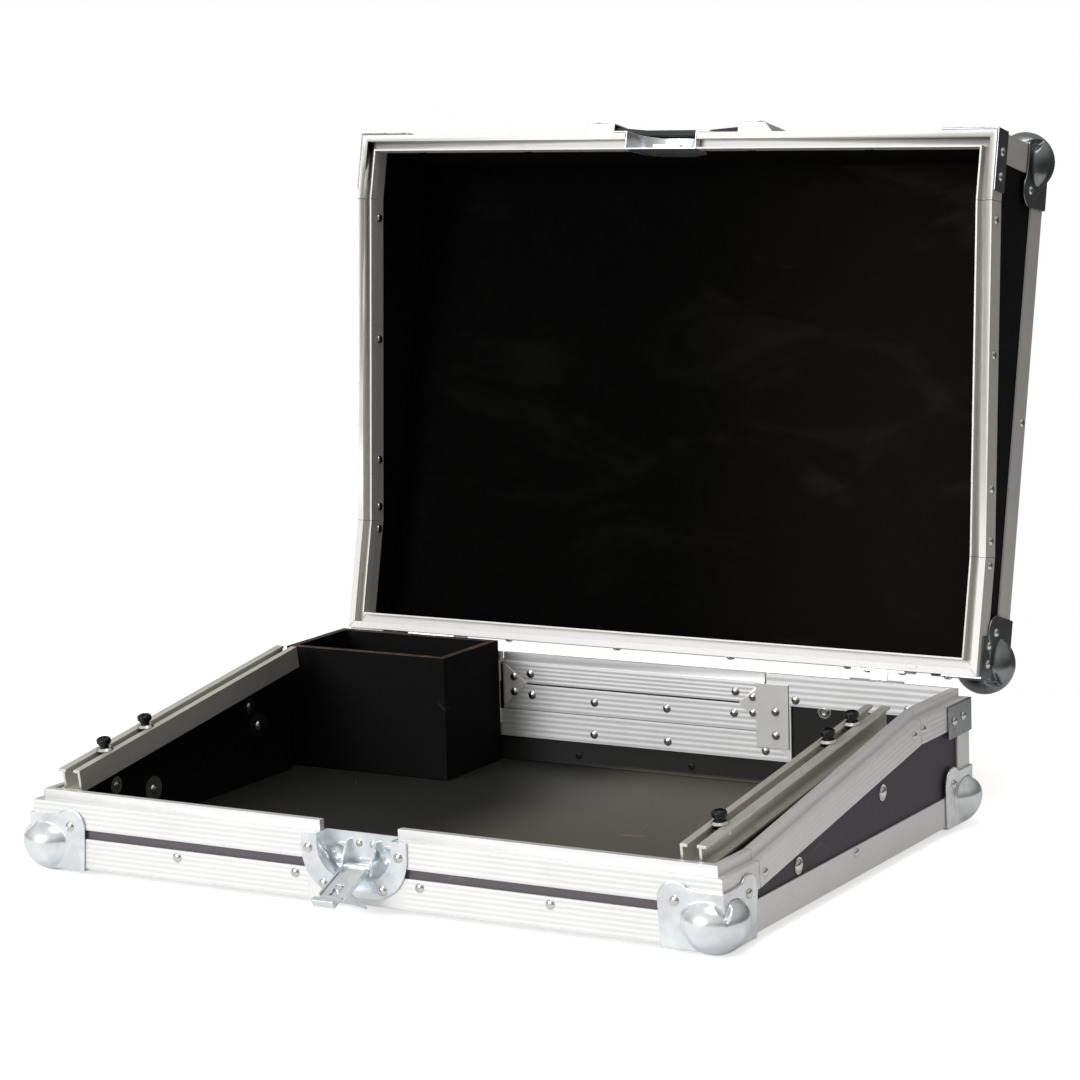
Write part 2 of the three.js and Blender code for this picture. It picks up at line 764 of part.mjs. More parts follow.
function hatchLeafMoving() {
  const leafFoot = hatchPinZ + hatchBarrelRadius + seat;
  const leaf = block(-hatchHingeHalfLength, hatchHingeHalfLength, caseDepth + seat,
    caseDepth + seat + hatchLeafSheet, leafFoot, leafFoot + hatchLeafHeight);
  const pitch = (2 * hatchHingeHalfLength) / hatchKnuckles;
  const necks = [];
  for (let i = 1; i < hatchKnuckles; i += 2) {
    const x0 = -hatchHingeHalfLength + i * pitch + knuckleGap / 2;
    necks.push(block(x0, x0 + pitch - knuckleGap, caseDepth + seat, caseDepth + seat + hatchLeafSheet,
      hatchPinZ, leafFoot + overrun));
  }
  const barrels = knuckles(hatchBarrelRadius, 0, hatchHingeHalfLength, hatchKnuckles, 1,
    hatchPinY, hatchPinZ);
  const pin = cylinderX(hatchPinRadius, -hatchHingeHalfLength, hatchHingeHalfLength, hatchPinY, hatchPinZ);
  return joined([leaf, ...necks, ...barrels, pin]);
}

// Lid hinges: a leaf on each rim, reaching out to a pin behind the back wall
const hingeKnuckles = 3;

function hingeLeaf(side, onLid) {
  const middle = side * hingeX;
  const halfWidth = hingeWidth / 2;
  const turn = onLid ? 1 : -1;
  const faceY = caseDepth + seat;
  const armZ = hingeZ + turn * hingeBarrelRadius;
  const armInner = armZ - turn * hingeSheet;
  const start = onLid ? rearLedge + closingGap : rearLedge - seat;
  const leaf = block(-halfWidth, halfWidth, faceY, faceY + hingeSheet, start, start + turn * hingeLeafHeight)
    .add(block(-halfWidth, halfWidth, faceY, faceY + hingeSheet, armInner, start));
  const pitch = hingeWidth / hingeKnuckles;
  const arms = [];
  for (let i = onLid ? 1 : 0; i < hingeKnuckles; i += 2) {
    const x0 = -halfWidth + i * pitch + knuckleGap / 2;
    arms.push(block(x0, x0 + pitch - knuckleGap, faceY, hingeY, armInner, armZ));
  }
  const bore = onLid ? 0 : hingePinRadius + pinClearance;
  const barrels = knuckles(hingeBarrelRadius, bore, halfWidth, hingeKnuckles, onLid ? 1 : 0, hingeY, hingeZ);
  const parts = [leaf, ...arms, ...barrels];
  if (onLid) parts.push(cylinderX(hingePinRadius, -halfWidth, halfWidth, hingeY, hingeZ));
  return joined(parts).translate([middle, 0, 0]);
}

// Lid: boards

function lidTopPanel() {
  return block(-half + boardOuter, half - boardOuter, boardOuter, caseDepth - boardOuter,
    closedHeight - boardInner, closedHeight - boardOuter).subtract(balls);
}

function lidFrontPanel() {
  return block(-half + boardOuter, half - boardOuter, boardOuter, boardInner,
    frontLedge + grooveTop + sheet + seat, closedHeight - boardInner - seat)
    .subtract(lidDishHole).subtract(balls);
}

function lidRearPanel() {
  return block(-half + boardOuter, half - boardOuter, caseDepth - boardInner, caseDepth - boardOuter,
    rearLedge + grooveTop + sheet + seat, closedHeight - boardInner - seat).subtract(balls);
}

function lidSidePanel(side) {
  const low = partingLine(grooveTop + sheet + seat);
  const top = closedHeight - boardInner - seat;
  const yFront = boardInner + seat;
  const yRear = caseDepth - boardInner - seat;
  const shape = outline([
    [yFront, low[0][1]], low[1], low[2], [yRear, low[3][1]], [yRear, top], [yFront, top],
  ]);
  const xs = [side * (half - boardOuter), side * (half - boardInner)];
  return prismX(shape, Math.min(...xs), Math.max(...xs)).subtract(balls);
}

// The rim of the lid goes round all four walls and is cut only for the latch dish
function lidRimFrame() {
  const across = [false, true].map((back) => crossRim(lidRim, back, -half, half));
  const along = [-1, 1].map((side) => sideRim(lidRim, side));
  const inside = block(-half + lipInner, half - lipInner, lipInner, caseDepth - lipInner, 0, closedHeight);
  return joined([...across, ...along]).subtract(inside).subtract(lidDishHole);
}

function lidLining() {
  const inset = boardInner + liningGap;
  const top = closedHeight - boardInner - seat;
  return block(-half + inset, half - inset, inset, caseDepth - inset, top - liningThick, top);
}

// Latch: dish with two ears for the pin, carrier, hook and wing

function latchDish() {
  const ears = [-1, 1].map((side) => {
    const x0 = latchX + side * (carrierHalfWidth + seat);
    const x1 = x0 + side * earSheet;
    const nose = latchPivotY - latchBarrelRadius;
    const root = dishDepth + dishSheet / 2;
    const ear = prismX(outline([
      [nose, latchPivotZ - earReach], [root, latchPivotZ - earReach], [root, earTop],
      [dishDepth - earTopDepth, earTop], [nose, latchPivotZ + earReach],
    ]), Math.min(x0, x1), Math.max(x0, x1));
    return ear.subtract(cylinderX(latchPinRadius + pinClearance, Math.min(x0, x1) - overrun,
      Math.max(x0, x1) + overrun, latchPivotY, latchPivotZ));
  });
  return joined([dishShell(frontLedge, dishBottom, flangeBottom), ...ears]);
}

// The keeper is a bent strip across the lid's dish, open behind for the hook
function lidLatchDish() {
  const flangeEnd = lidDishTop + dishBottom - flangeBottom;
  const web = block(latchX - keeperHalfWidth, latchX + keeperHalfWidth, keeperY, dishDepth + dishSheet / 2,
    keeperFootZ, keeperFootZ + keeperSheet);
  const lip = block(latchX - keeperHalfWidth, latchX + keeperHalfWidth, keeperY, keeperY + keeperSheet,
    keeperFootZ, keeperTopZ);
  return joined([dishShell(frontLedge + closingGap, lidDishTop, flangeEnd), web, lip]);
}

// The next three are drawn upright, with the pin at the origin
function latchCarrier() {
  const halfSheet = carrierSheet / 2;
  const plate = block(-carrierHalfWidth, carrierHalfWidth, -halfSheet, halfSheet, 0, carrierTop);
  const flanges = [-1, 1].map((side) => block(side * carrierHalfWidth, side * (carrierHalfWidth - carrierSheet),
    -halfSheet, carrierFlange, carrierFoot, carrierTop));
  const barrel = cylinderX(latchBarrelRadius, -carrierHalfWidth, carrierHalfWidth, 0, 0);
  const pinReach = carrierHalfWidth + seat + earSheet;
  const pin = cylinderX(latchPinRadius, -pinReach, pinReach, 0, 0);
  const hole = cylinderY(axleRadius + pinClearance, -overrun, overrun, 0, axleZ);
  return joined([plate, ...flanges, barrel, pin]).subtract(hole);
}

function latchHook() {
  const y0 = carrierSheet / 2 + hookGap;
  const y1 = y0 + carrierSheet;
  const reach = y0 + hookReach;
  const wide = carrierHalfWidth - carrierSheet - hookGap;
  const plate = block(-wide, wide, y0, y1, hookFoot, hookTop);
  const slot = block(-hookSlotHalfWidth, hookSlotHalfWidth, y0 - overrun, y1 + overrun,
    axleZ - axleRadius - hookGap, axleZ + axleRadius + hookTravel + hookGap);
  const lip = block(-wide, wide, y0, reach, hookTop - carrierSheet, hookTop);
  const turnDown = block(-wide, wide, reach - carrierSheet, reach, hookTop - carrierSheet - hookTurnDown, hookTop);
  return joined([plate, lip, turnDown]).subtract(slot);
}

// Butterfly wing: a fin across a round base, on the axle that works the hook
function latchWing() {
  const face = -carrierSheet / 2 - seat;
  const axle = cylinderY(axleRadius, face - overrun, carrierSheet / 2 + hookGap + carrierSheet, 0, axleZ);
  const disc = cylinderY(wingDiscRadius, face - wingDiscSheet, face, 0, axleZ);
  const fin = outline([
    [-wingHalfSpan, face - wingHeight], [-wingDiscRadius, face - wingDiscSheet],
    [-wingDiscRadius, face - wingDiscSheet / 2], [wingDiscRadius, face - wingDiscSheet / 2],
    [wingDiscRadius, face - wingDiscSheet], [wingHalfSpan, face - wingHeight],
  ]);
  return joined([axle, disc, prismZ(fin, axleZ - wingSheet / 2, axleZ + wingSheet / 2)]);
}

// Strap handle on the lid's front wall

function handleCap(side) {
  const wallFace = boardOuter - seat;
  const top = wallFace - capRise;
  const at = (a) => handleX + side * (capInnerX + a);
  const low = handleZ - capDepth / 2;
  const high = handleZ + capDepth / 2;
  const skin = (inset) => outline([
    [at(-inset * overrun), wallFace + inset * overrun],
    [at(capTopLength + capSlope - inset * 2 * capSheet), wallFace + inset * overrun],
    [at(capTopLength - inset * capSheet), top + inset * capSheet],
    [at(-inset * overrun), top + inset * capSheet],
  ]);
  const shell = prismZ(skin(0), low, high);
  return shell.subtract(prismZ(skin(1), low + capSheet, high - capSheet));
}

// The strap bows down to the wall between its caps
function handleStrap() {
  const wallFace = boardOuter - seat;
  const endX = capInnerX + capTopLength - strapEndGap;
  const low = (rise) => wallFace - rise;
  const points = [
    [-endX, low(strapEndRise)], [-capInnerX, low(strapEndRise)], [-capInnerX / 2, low(strapMiddleRise)],
    [capInnerX / 2, low(strapMiddleRise)], [capInnerX, low(strapEndRise)], [endX, low(strapEndRise)],
  ];
  const outer = points.map(([x, y]) => [x, y - strapThick]).reverse();
  const shape = outline([...points, ...outer].map(([x, y]) => [handleX + x, y]));
  return prismZ(shape, handleZ - strapDepth / 2, handleZ + strapDepth / 2);
}

// Assembly

const casePieces = new THREE.Group();
casePieces.add(
  piece("base_bottom_panel", baseBottomPanel(), boardMaterial),
  piece("base_front_panel", baseFrontPanel(), boardMaterial),
  piece("base_rear_panel", baseRearPanel(), boardMaterial),
  piece("base_edge_frame", baseEdgeFrame(), aluminium),
  piece("cable_box", cableBox(), blackMaterial),
  piece("hatch_surround", hatchSurround(), aluminium),
  piece("hatch_hinge_leaf_fixed", hatchLeafFixed(), zinc),
  piece("hatch_panel", hatchPanel(), boardMaterial),
  piece("hatch_frame", hatchFrame(), aluminium),
  piece("hatch_hinge_leaf_moving", hatchLeafMoving(), zinc),
  piece("latch_dish", latchDish(), zinc),
);

const hinge = new THREE.Vector3(0, hingeY, hingeZ);
const lid = new THREE.Group();
lid.position.copy(hinge);
lid.rotation.x = -lidOpenAngle * toRadians;
const lidPieces = new THREE.Group();
lidPieces.position.copy(hinge).negate();
lid.add(lidPieces);
lidPieces.add(
  piece("lid_top_panel", lidTopPanel(), boardMaterial),
  piece("lid_front_panel", lidFrontPanel(), boardMaterial),
  piece("lid_rear_panel", lidRearPanel(), boardMaterial),
  piece("lid_rim_frame", lidRimFrame(), aluminium),
  piece("lid_edge_frame", lidEdgeFrame(), aluminium),
  piece("lid_lining", lidLining(), foam),
  piece("lid_latch_dish", lidLatchDish(), zinc),
  piece("handle_strap", handleStrap(), rubber),
);

const railFrames = [leftRail, rightRail].map((rail) => {
  const frame = railFrame(rail);
  const word = rail.side < 0 ? "left" : "right";
  const screwYs = rail.side < 0 ? leftScrewYs : rightScrewYs;
  frame.add(piece("rack_rail_" + word, rackRail(rail), railMetal));
  screwYs.forEach((y, i) =>
    frame.add(piece("rack_screw_" + word + "_" + (i + 1), rackScrew(rail, y), screwMaterial)));
  casePieces.add(piece("rail_support_" + word, railSupport(rail), blackMaterial));
  return frame;
});

for (const [side, word] of [[-1, "left"], [1, "right"]]) {
  casePieces.add(
    piece("base_" + word + "_panel", baseSidePanel(side), boardMaterial),
    piece("base_rim_" + word, mitredSide(sideRim(baseRim, side), side), aluminium),
    piece("base_rim_front_" + word, baseRimFront(side), aluminium),
    piece("base_rim_rear_" + word, baseRimRear(side), aluminium),
    piece("base_ball_corner_front_" + word, ballCorner(side, false, false), zinc),
    piece("base_ball_corner_rear_" + word, ballCorner(side, true, false), zinc),
    piece("base_brace_" + word, braceCorner(side, true, rearLedge - seat - baseBraceHeight,
      rearLedge - seat, baseBraceLength), zinc),
    piece("lid_hinge_base_leaf_" + word, hingeLeaf(side, false), zinc),
  );
  lidPieces.add(
    piece("lid_" + word + "_panel", lidSidePanel(side), boardMaterial),
    piece("lid_ball_corner_front_" + word, ballCorner(side, false, true), zinc),
    piece("lid_ball_corner_rear_" + word, ballCorner(side, true, true), zinc),
    piece("lid_brace_" + word, braceCorner(side, false, frontLedge + lidBraceRise,
      frontLedge + lidBraceRise + rimOuterLeg, lidBraceLength), zinc),
    piece("lid_hinge_lid_leaf_" + word, hingeLeaf(side, true), zinc),
    piece("handle_cap_" + word, handleCap(side), zinc),
  );
}

const latch = new THREE.Group();
latch.position.set(latchX, latchPivotY, latchPivotZ);
latch.rotation.x = latchRestAngle * toRadians;
latch.add(
  piece("latch_carrier", latchCarrier(), zinc),
  piece("latch_hook", latchHook(), zinc),
  piece("latch_wing", latchWing(), zinc),
);

// The case stands on its ball corners over the origin, in the middle of its open outline
const group = new THREE.Group();
const standing = new THREE.Group();
standing.add(casePieces, lid, ...railFrames, latch);
group.add(standing);
const box = new THREE.Box3().setFromObject(standing);
const middle = box.getCenter(new THREE.Vector3());
standing.position.set(-middle.x, -middle.y, -box.min.z);

export default group;
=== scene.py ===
import json
import math

import bmesh
import bpy
from mathutils import Matrix, Vector

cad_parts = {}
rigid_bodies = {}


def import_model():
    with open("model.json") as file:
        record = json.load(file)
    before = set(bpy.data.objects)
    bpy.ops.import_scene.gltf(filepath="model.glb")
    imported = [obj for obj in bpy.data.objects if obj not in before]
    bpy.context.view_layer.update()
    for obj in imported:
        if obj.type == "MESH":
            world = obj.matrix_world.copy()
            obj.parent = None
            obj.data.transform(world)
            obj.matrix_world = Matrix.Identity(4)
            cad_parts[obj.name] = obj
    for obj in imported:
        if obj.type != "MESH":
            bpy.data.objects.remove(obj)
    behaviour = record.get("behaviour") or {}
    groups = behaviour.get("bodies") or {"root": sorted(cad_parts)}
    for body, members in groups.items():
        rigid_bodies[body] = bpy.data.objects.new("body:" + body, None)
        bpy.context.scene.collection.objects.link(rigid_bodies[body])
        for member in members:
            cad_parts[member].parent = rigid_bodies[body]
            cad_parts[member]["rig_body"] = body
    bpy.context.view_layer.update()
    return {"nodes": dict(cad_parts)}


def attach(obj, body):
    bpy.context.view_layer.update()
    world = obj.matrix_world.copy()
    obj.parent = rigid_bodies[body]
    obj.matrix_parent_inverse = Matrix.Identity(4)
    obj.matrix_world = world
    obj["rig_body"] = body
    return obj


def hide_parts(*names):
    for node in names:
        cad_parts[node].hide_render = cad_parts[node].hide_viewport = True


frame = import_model()

# -------------------------------- Where the open case was photographed
# A white table under a large soft window at the front left. The camera stands in front of the right
# corner, a little above the lid's hinge line, and looks slightly down on the open case.
bpy.context.scene.view_settings.view_transform = "Standard"


class Wire:
    """One socket of a node tree. Sums and products of wires add the Math nodes for them."""

    def __init__(self, graph, socket):
        self.graph = graph
        self.socket = socket

    def out(self, name):
        return Wire(self.graph, self.socket.node.outputs[name])

    def math(self, operation, *values):
        return self.graph.node("ShaderNodeMath", dict(enumerate(values)), operation=operation)

    def __add__(self, other):
        return self.math("ADD", self, other)

    def __sub__(self, other):
        return self.math("SUBTRACT", self, other)

    def __rsub__(self, other):
        return self.math("SUBTRACT", other, self)

    def __mul__(self, other):
        return self.math("MULTIPLY", self, other)

    __radd__, __rmul__ = __add__, __mul__

    def cosine(self):
        return self.math("COSINE", self)

    def between(self, low, high):
        """0 below low, 1 above high and smooth in between."""
        return self.graph.node("ShaderNodeMapRange", {
            "Value": self, "From Min": low, "From Max": high}, interpolation_type="SMOOTHSTEP")


class Graph:
    """A node tree in the making, for a finish or for Geometry Nodes."""

    def __init__(self, tree):
        self.tree = tree

    def node(self, kind, inputs=None, out=0, **settings):
        """Adds a node and gives one output. A list feeds a socket that takes several wires."""
        made = self.tree.nodes.new(kind)
        for name, value in settings.items():
            setattr(made, name, value)
        for name, value in (inputs or {}).items():
            for each in value if isinstance(value, list) else [value]:
                if isinstance(each, Wire):
                    self.tree.links.new(each.socket, made.inputs[name])
                else:
                    made.inputs[name].default_value = each
        return Wire(self, made.outputs[out]) if made.outputs else made


def finish(name, **constants):
    """A new material: constants go on the shader's sockets, and place is the piece's own space."""
    material = bpy.data.materials.new(name)
    material.use_nodes = True
    graph = Graph(material.node_tree)
    graph.material = material
    graph.shader = material.node_tree.nodes["Principled BSDF"]
    for socket, value in constants.items():
        graph.shader.inputs[socket.replace("_", " ")].default_value = value
    graph.place = graph.node("ShaderNodeTexCoord").out("Object")
    return graph


def feed(graph, socket, wire):
    graph.tree.links.new(wire.socket, graph.shader.inputs[socket])


def paint(code):
    """A screen colour such as 8a8a88 as the linear colour that a shader takes."""
    parts = [int(code[i:i + 2], 16) / 255 for i in (0, 2, 4)]
    return (*(c / 12.92 if c < 0.04045 else ((c + 0.055) / 1.055) ** 2.4 for c in parts), 1.0)


def mixed(graph, share, first, second):
    """A mix of two colours, each a wire, a linear colour or a screen colour."""
    first, second = (paint(each) if isinstance(each, str) else each for each in (first, second))
    return graph.node("ShaderNodeMix", {0: share, 6: first, 7: second}, 2, data_type="RGBA")


def linked(thing):
    bpy.context.scene.collection.objects.link(thing)
    return thing


yaw, pitch, roll = (math.radians(angle) for angle in (30.4157, 8.8706, -1.6346))
camera_place = (1.111365, -1.898475, 0.543174)
film_width, focal_length = 36, 109.648
sight = Vector((-math.sin(yaw) * math.cos(pitch), math.cos(yaw) * math.cos(pitch),
                -math.sin(pitch)))
level = Vector((math.cos(yaw), math.sin(yaw), 0))
upright = level.cross(sight)
across = math.cos(roll) * level + math.sin(roll) * upright
upward = math.cos(roll) * upright - math.sin(roll) * level
camera = linked(bpy.data.objects.new("camera", bpy.data.cameras.new("camera")))
camera.data.sensor_width = film_width
camera.data.lens = focal_length
camera.matrix_world = Matrix.Translation(camera_place) @ Matrix(
    (across, upward, -sight)).transposed().to_4x4()
bpy.context.scene.camera = camera


def lamp(name, place, target, size, power, colour):
    light = bpy.data.lights.new(name, "AREA")
    light.color = colour
    light.shape = "DISK"
    light.size = size
    light.energy = power
    lit = linked(bpy.data.objects.new(name, light))
    lit.location = place
    lit.rotation_euler = (Vector(target) - Vector(place)).to_track_quat("-Z", "Y").to_euler()


lamp("window", (-1.25, -3.1, 1.2), (0, -0.1, 0.1), 1.7, 69, (0.97, 0.985, 1.0))
lamp("ceiling", (0.2, -0.4, 2.3), (0, 0, 0), 1.4, 12, (1.0, 0.99, 0.97))

# The camera sees a plain white room. Its light on the case comes from above and from the window.
room_white, warm_white = (1, 1, 1, 1), (1.0, 0.975, 0.94, 1)
from_ceiling, from_window, from_everywhere = 0.42, 0.3, 0.1
world = bpy.data.worlds.new("studio")
world.use_nodes = True
bpy.context.scene.world = world
room = Graph(world.node_tree)
room.shader = world.node_tree.nodes["Background"]
seen = room.node("ShaderNodeLightPath").out("Is Camera Ray")
way = room.node("ShaderNodeTexCoord").out("Generated")
towards_window = room.node("ShaderNodeVectorMath", {0: way, 1: (-0.55, -0.75, 0.35)}, 1,
                           operation="DOT_PRODUCT")
height = room.node("ShaderNodeSeparateXYZ", {0: way}).out("Z")
soft = (height.between(0.02, 0.7) * from_ceiling + towards_window.between(-0.2, 0.9) * from_window
        + from_everywhere)
feed(room, "Strength", seen + (1 - seen) * soft)
feed(room, "Color", mixed(room, seen, warm_white, room_white))

left, right, near, far = -1.3, 1.0, -1.6, 0.55
table_glow = 0.62
table_mesh = bpy.data.meshes.new("table")
table_mesh.from_pydata([(left, near, 0), (right, near, 0), (right, far, 0), (left, far, 0)], [],
                       [(0, 1, 2, 3)])
table = linked(bpy.data.objects.new("table", table_mesh))
table_paint = finish("white_table", Base_Color=(0.9, 0.9, 0.9, 1), Roughness=0.9,
                     Specular_IOR_Level=0, Emission_Color=room_white)
feed(table_paint, "Emission Strength",
     table_paint.node("ShaderNodeLightPath").out("Is Camera Ray") * table_glow)
table_mesh.materials.append(table_paint.material)

# -------------------------------- Base boards
# Five plywood boards with a hard violet-grey laminate outside and black paint inside. They slide
# into the channels of the aluminium edges. The back board has a notch for the cable hatch.


def noise(graph, scale, detail=2.0, roughness=0.5, stretch=(1, 1, 1), distortion=0.0):
    where = graph.node("ShaderNodeVectorMath", {0: graph.place, 1: stretch}, operation="MULTIPLY")
    return graph.node("ShaderNodeTexNoise", {
        "Vector": where, "Scale": scale, "Detail": detail, "Roughness": roughness,
        "Distortion": distortion})


def scratches(graph, scale, width, amount):
    """Thin broken lines, 1 on a scratch."""
    bending = graph.node("ShaderNodeTexNoise", {"Vector": graph.place, "Scale": scale / 3}, 1)
    warped = graph.node("ShaderNodeVectorMath", {0: graph.place, 1: bending}, operation="ADD")
    lines = 1 - graph.node("ShaderNodeTexVoronoi", {"Vector": warped, "Scale": scale},
                           feature="DISTANCE_TO_EDGE").between(0, width)
    return lines * noise(graph, scale * 1.7, 1).between(1 - amount, 1.08 - amount)


def coat(graph, colour, roughness, unevenness=None, deep=0.0, strength=1.0):
    """What a finish shows: a colour, a roughness and an unevenness that goes deep metres."""
    feed(graph, "Base Color", colour)
    feed(graph, "Roughness", roughness)
    if unevenness:
        feed(graph, "Normal", graph.node("ShaderNodeBump", {
            "Strength": strength, "Distance": deep, "Height": unevenness}))


def hard_laminate(name, dark, light, scuff, gloss):
    """Phenolic laminate between two screen colours, with a fine grain and a few scuffs."""
    skin = finish(name, Metallic=0.0, Specular_IOR_Level=gloss)
    grain = noise(skin, 900, 3, 0.6)
    clouds = noise(skin, 9, 3)
    colour = mixed(skin, clouds, dark, light)
    colour = mixed(skin, grain.between(0.35, 0.7) * 0.35, colour, dark)
    colour = mixed(skin, scratches(skin, 14, 0.012, 0.42) * 0.35, colour, scuff)
    coat(skin, colour, 0.42 + 0.2 * clouds + 0.12 * grain, grain + 0.6 * noise(skin, 260), 0.00012,
         0.6)
    return skin


laminate = hard_laminate("violet_grey_laminate", "35323a", "423e46", "8a8689", 0.5)
# The front board gets the same laminate painted lighter: painted light from the window in front of
# it.
painted_light_front_laminate = hard_laminate("violet_grey_laminate_painted_lighter", "4f4a50", "5c565c", "8a8689", 0.5)


def black_paint(name, gloss, roughness, paler_where, dark, light, lines, lines_share, dusty):
    """Thin black paint on wood, paler where a given mask says, with dust and scratches. On the
    walls the paler patches are wear; on the floor they are painted light.
    """
    skin = finish(name, Metallic=0.0, Specular_IOR_Level=gloss)
    fibres = noise(skin, 420, 4, 0.7)
    dust = noise(skin, 1500, 1).between(0.74, 0.8) * noise(skin, 18).between(0.45, 0.65)
    colour = mixed(skin, paler_where(skin), dark, light)
    marks = dust * 0.5 + scratches(skin, *lines) * lines_share
    coat(skin, mixed(skin, marks, colour, dusty), roughness + 0.25 * fibres, fibres, 0.00015,
         0.7)
    return skin


def in_patches(graph):
    return noise(graph, 5, 4).between(0.3, 0.75)


def painted_light_across_floor(graph):
    """Painted light: paler towards the right, and only up to the floor's level, so that the walls
    stay black.
    """
    spot = graph.node("ShaderNodeSeparateXYZ", {0: graph.place})
    above = spot.out("Z").between(0.015, 0.018)
    return (spot + noise(graph, 6, 4) * 0.06).between(-0.03, 0.07) * (1 - above) * 0.9


inner_black = black_paint("black_board_paint", 0.1, 0.55, in_patches, "070707", "0f0e0d",
                          (11, 0.006, 0.36), 0.3, "6d675a")
# The floor is painted paler towards the right: painted light.
floor_black = black_paint("floor_paint_with_painted_light", 0.3, 0.5, painted_light_across_floor, "191918", "524e48",
                          (9, 0.005, 0.34), 0.6, "968c7c")


def clean_copy(node):
    """A CAD node's mesh with its loose triangles merged into flat faces."""
    form = bmesh.new()
    form.from_mesh(frame["nodes"][node].data)
    bmesh.ops.remove_doubles(form, verts=form.verts, dist=2e-6)
    bmesh.ops.dissolve_limit(form, angle_limit=math.radians(0.5), verts=form.verts,
                             edges=form.edges)
    return form


def as_mesh(form, name):
    mesh = bpy.data.meshes.new(name)
    form.to_mesh(mesh)
    form.free()
    return mesh


def shaded(mesh, angle=35):
    for face in mesh.polygons:
        face.use_smooth = True
    mesh.set_sharp_from_angle(angle=math.radians(angle))
    return mesh


def placed(name, mesh, body, slot, *stands_for):
    piece = linked(bpy.data.objects.new(name, mesh))
    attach(piece, body)
    if stands_for:
        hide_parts(*stands_for)
    return piece


def modify(thing, kind, **settings):
    modifier = thing.modifiers.new(kind.lower(), kind)
    for name, value in settings.items():
        setattr(modifier, name, value)


def dressed(node, slot, edge, finishes, choose=None, segments=2):
    """A CAD node again, its edges eased by edge metres. choose(normal, middle) picks a finish."""
    form = clean_copy(node)
    for face in form.faces if choose else ():
        face.material_index = choose(face.normal, face.calc_center_median())
    mesh = as_mesh(form, node)
    for each in finishes:
        mesh.materials.append(each.material)
    piece = placed(node + "_made", shaded(mesh), frame["nodes"][node]["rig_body"], slot, node)
    modify(piece, "BEVEL", width=edge, segments=segments, limit_method="ANGLE",
           angle_limit=math.radians(35), harden_normals=True)
    return piece


def dressed_pair(node, slot, edge, look, segments=2):
    for word in ("left", "right"):
        dressed(node + word, slot, edge, [look], segments=segments)


def board(node, outward, inside=inner_black, outside=laminate):
    outward = Vector(outward)
    return dressed(node, "board", 0.0003, [outside, inside],
                   lambda normal, middle: 0 if normal.dot(outward) > 0.7 else 1)


board("base_bottom_panel", (0, 0, -1), floor_black)
board("base_front_panel", (0, -1, 0), outside=painted_light_front_laminate)
board("base_rear_panel", (0, 1, 0), floor_black)
board("base_left_panel", (-1, 0, 0))
board("base_right_panel", (1, 0, 0))

# -------------------------------- Aluminium edges of the base
# Angles round the bottom and up the corners, and a rim whose tongue the lid closes over. They are
# ribbed extrusions in satin aluminium, mitred at the corners and bends and riveted to the boards.
mm = 0.001
half, depth, closed_height = 255.0, 368.0, 134.5
front_ledge, rear_ledge = 43.0, 81.5
front_level, rear_level = 48.0, 81.0
leg, rim_leg, rim_inner_leg, sheet = 20.0, 17.0, 15.0, 1.5
rim_inner, tongue_start, tongue_height = 10.1, 5.2, 6.5
leg_ribs, rim_ribs, lip_ribs, tongue_ribs = 6, 5, 3, 2
dish_middle, flange_half, dish_opening_half, hatch_opening_half = -1.5, 39.0, 30.0, 107.8
extrusion_edge = 0.00025
slope = math.atan2(rear_ledge - front_ledge, depth - front_level - rear_level)
bend = math.tan(slope / 2)
FRONT, BACK, UP = (0, -1, 0), (0, 1, 0), (0, 0, 1)
SIDES = ((-1, "left"), (1, "right"))
CASE = Matrix.Scale(mm, 4) @ Matrix.Translation((0, -241.40939920277464, 6.0))


def satin(name, dark, light, scratch, metallic):
    """Satin anodised aluminium between two screen colours."""
    metal = finish(name, Metallic=metallic)
    mottle = noise(metal, 24, 4, 0.6)
    haze = noise(metal, 700, 2)
    marks = scratches(metal, 30, 0.01, 0.4)
    colour = mixed(metal, marks * 0.5, mixed(metal, mottle, dark, light), scratch)
    coat(metal, colour, 0.4 + 0.08 * mottle + 0.06 * haze - 0.08 * marks, haze + 2 * marks, 0.00004,
         0.5)
    return metal


aluminium = satin("satin_aluminium", "dadada", "e8e8e8", "b6b5b3", 0.7)
# The lid's edges get the same aluminium darker and less metallic: painted shade over the whole lid.
# The hatch's flat stop and end plates use it as their plain duller tone.
lid_shade_and_plate_aluminium = satin("satin_aluminium_lid_shade_and_plates", "c4c2bf", "d4d2cf", "98968f", 0.3)


def geometry_tree(name, **inputs):
    """A Geometry Nodes tree and its input node. The names of its inputs come by kind of socket."""
    tree = bpy.data.node_groups.new(name, "GeometryNodeTree")
    for kind, labels in inputs.items():
        for label in labels:
            tree.interface.new_socket(name=label, in_out="INPUT", socket_type="NodeSocket" + kind)
    tree.interface.new_socket(name="Made", in_out="OUTPUT", socket_type="NodeSocketGeometry")
    graph = Graph(tree)
    return graph, graph.node("NodeGroupInput")


def made_of(graph, geometry, metal):
    return graph.node("GeometryNodeSetMaterial", {"Geometry": geometry, "Material": metal})


def joint(graph, *parts):
    return graph.node("GeometryNodeJoinGeometry", {"Geometry": list(parts)})


def end_tree(graph, made):
    graph.node("NodeGroupOutput", {
        "Made": graph.node("GeometryNodeRealizeInstances", {"Geometry": made})})


def evaluated(thing):
    """The mesh that an object's modifiers make of it. The object itself goes."""
    ready = thing.evaluated_get(bpy.context.evaluated_depsgraph_get())
    mesh = bpy.data.meshes.new_from_object(ready)
    bpy.data.objects.remove(thing)
    return mesh


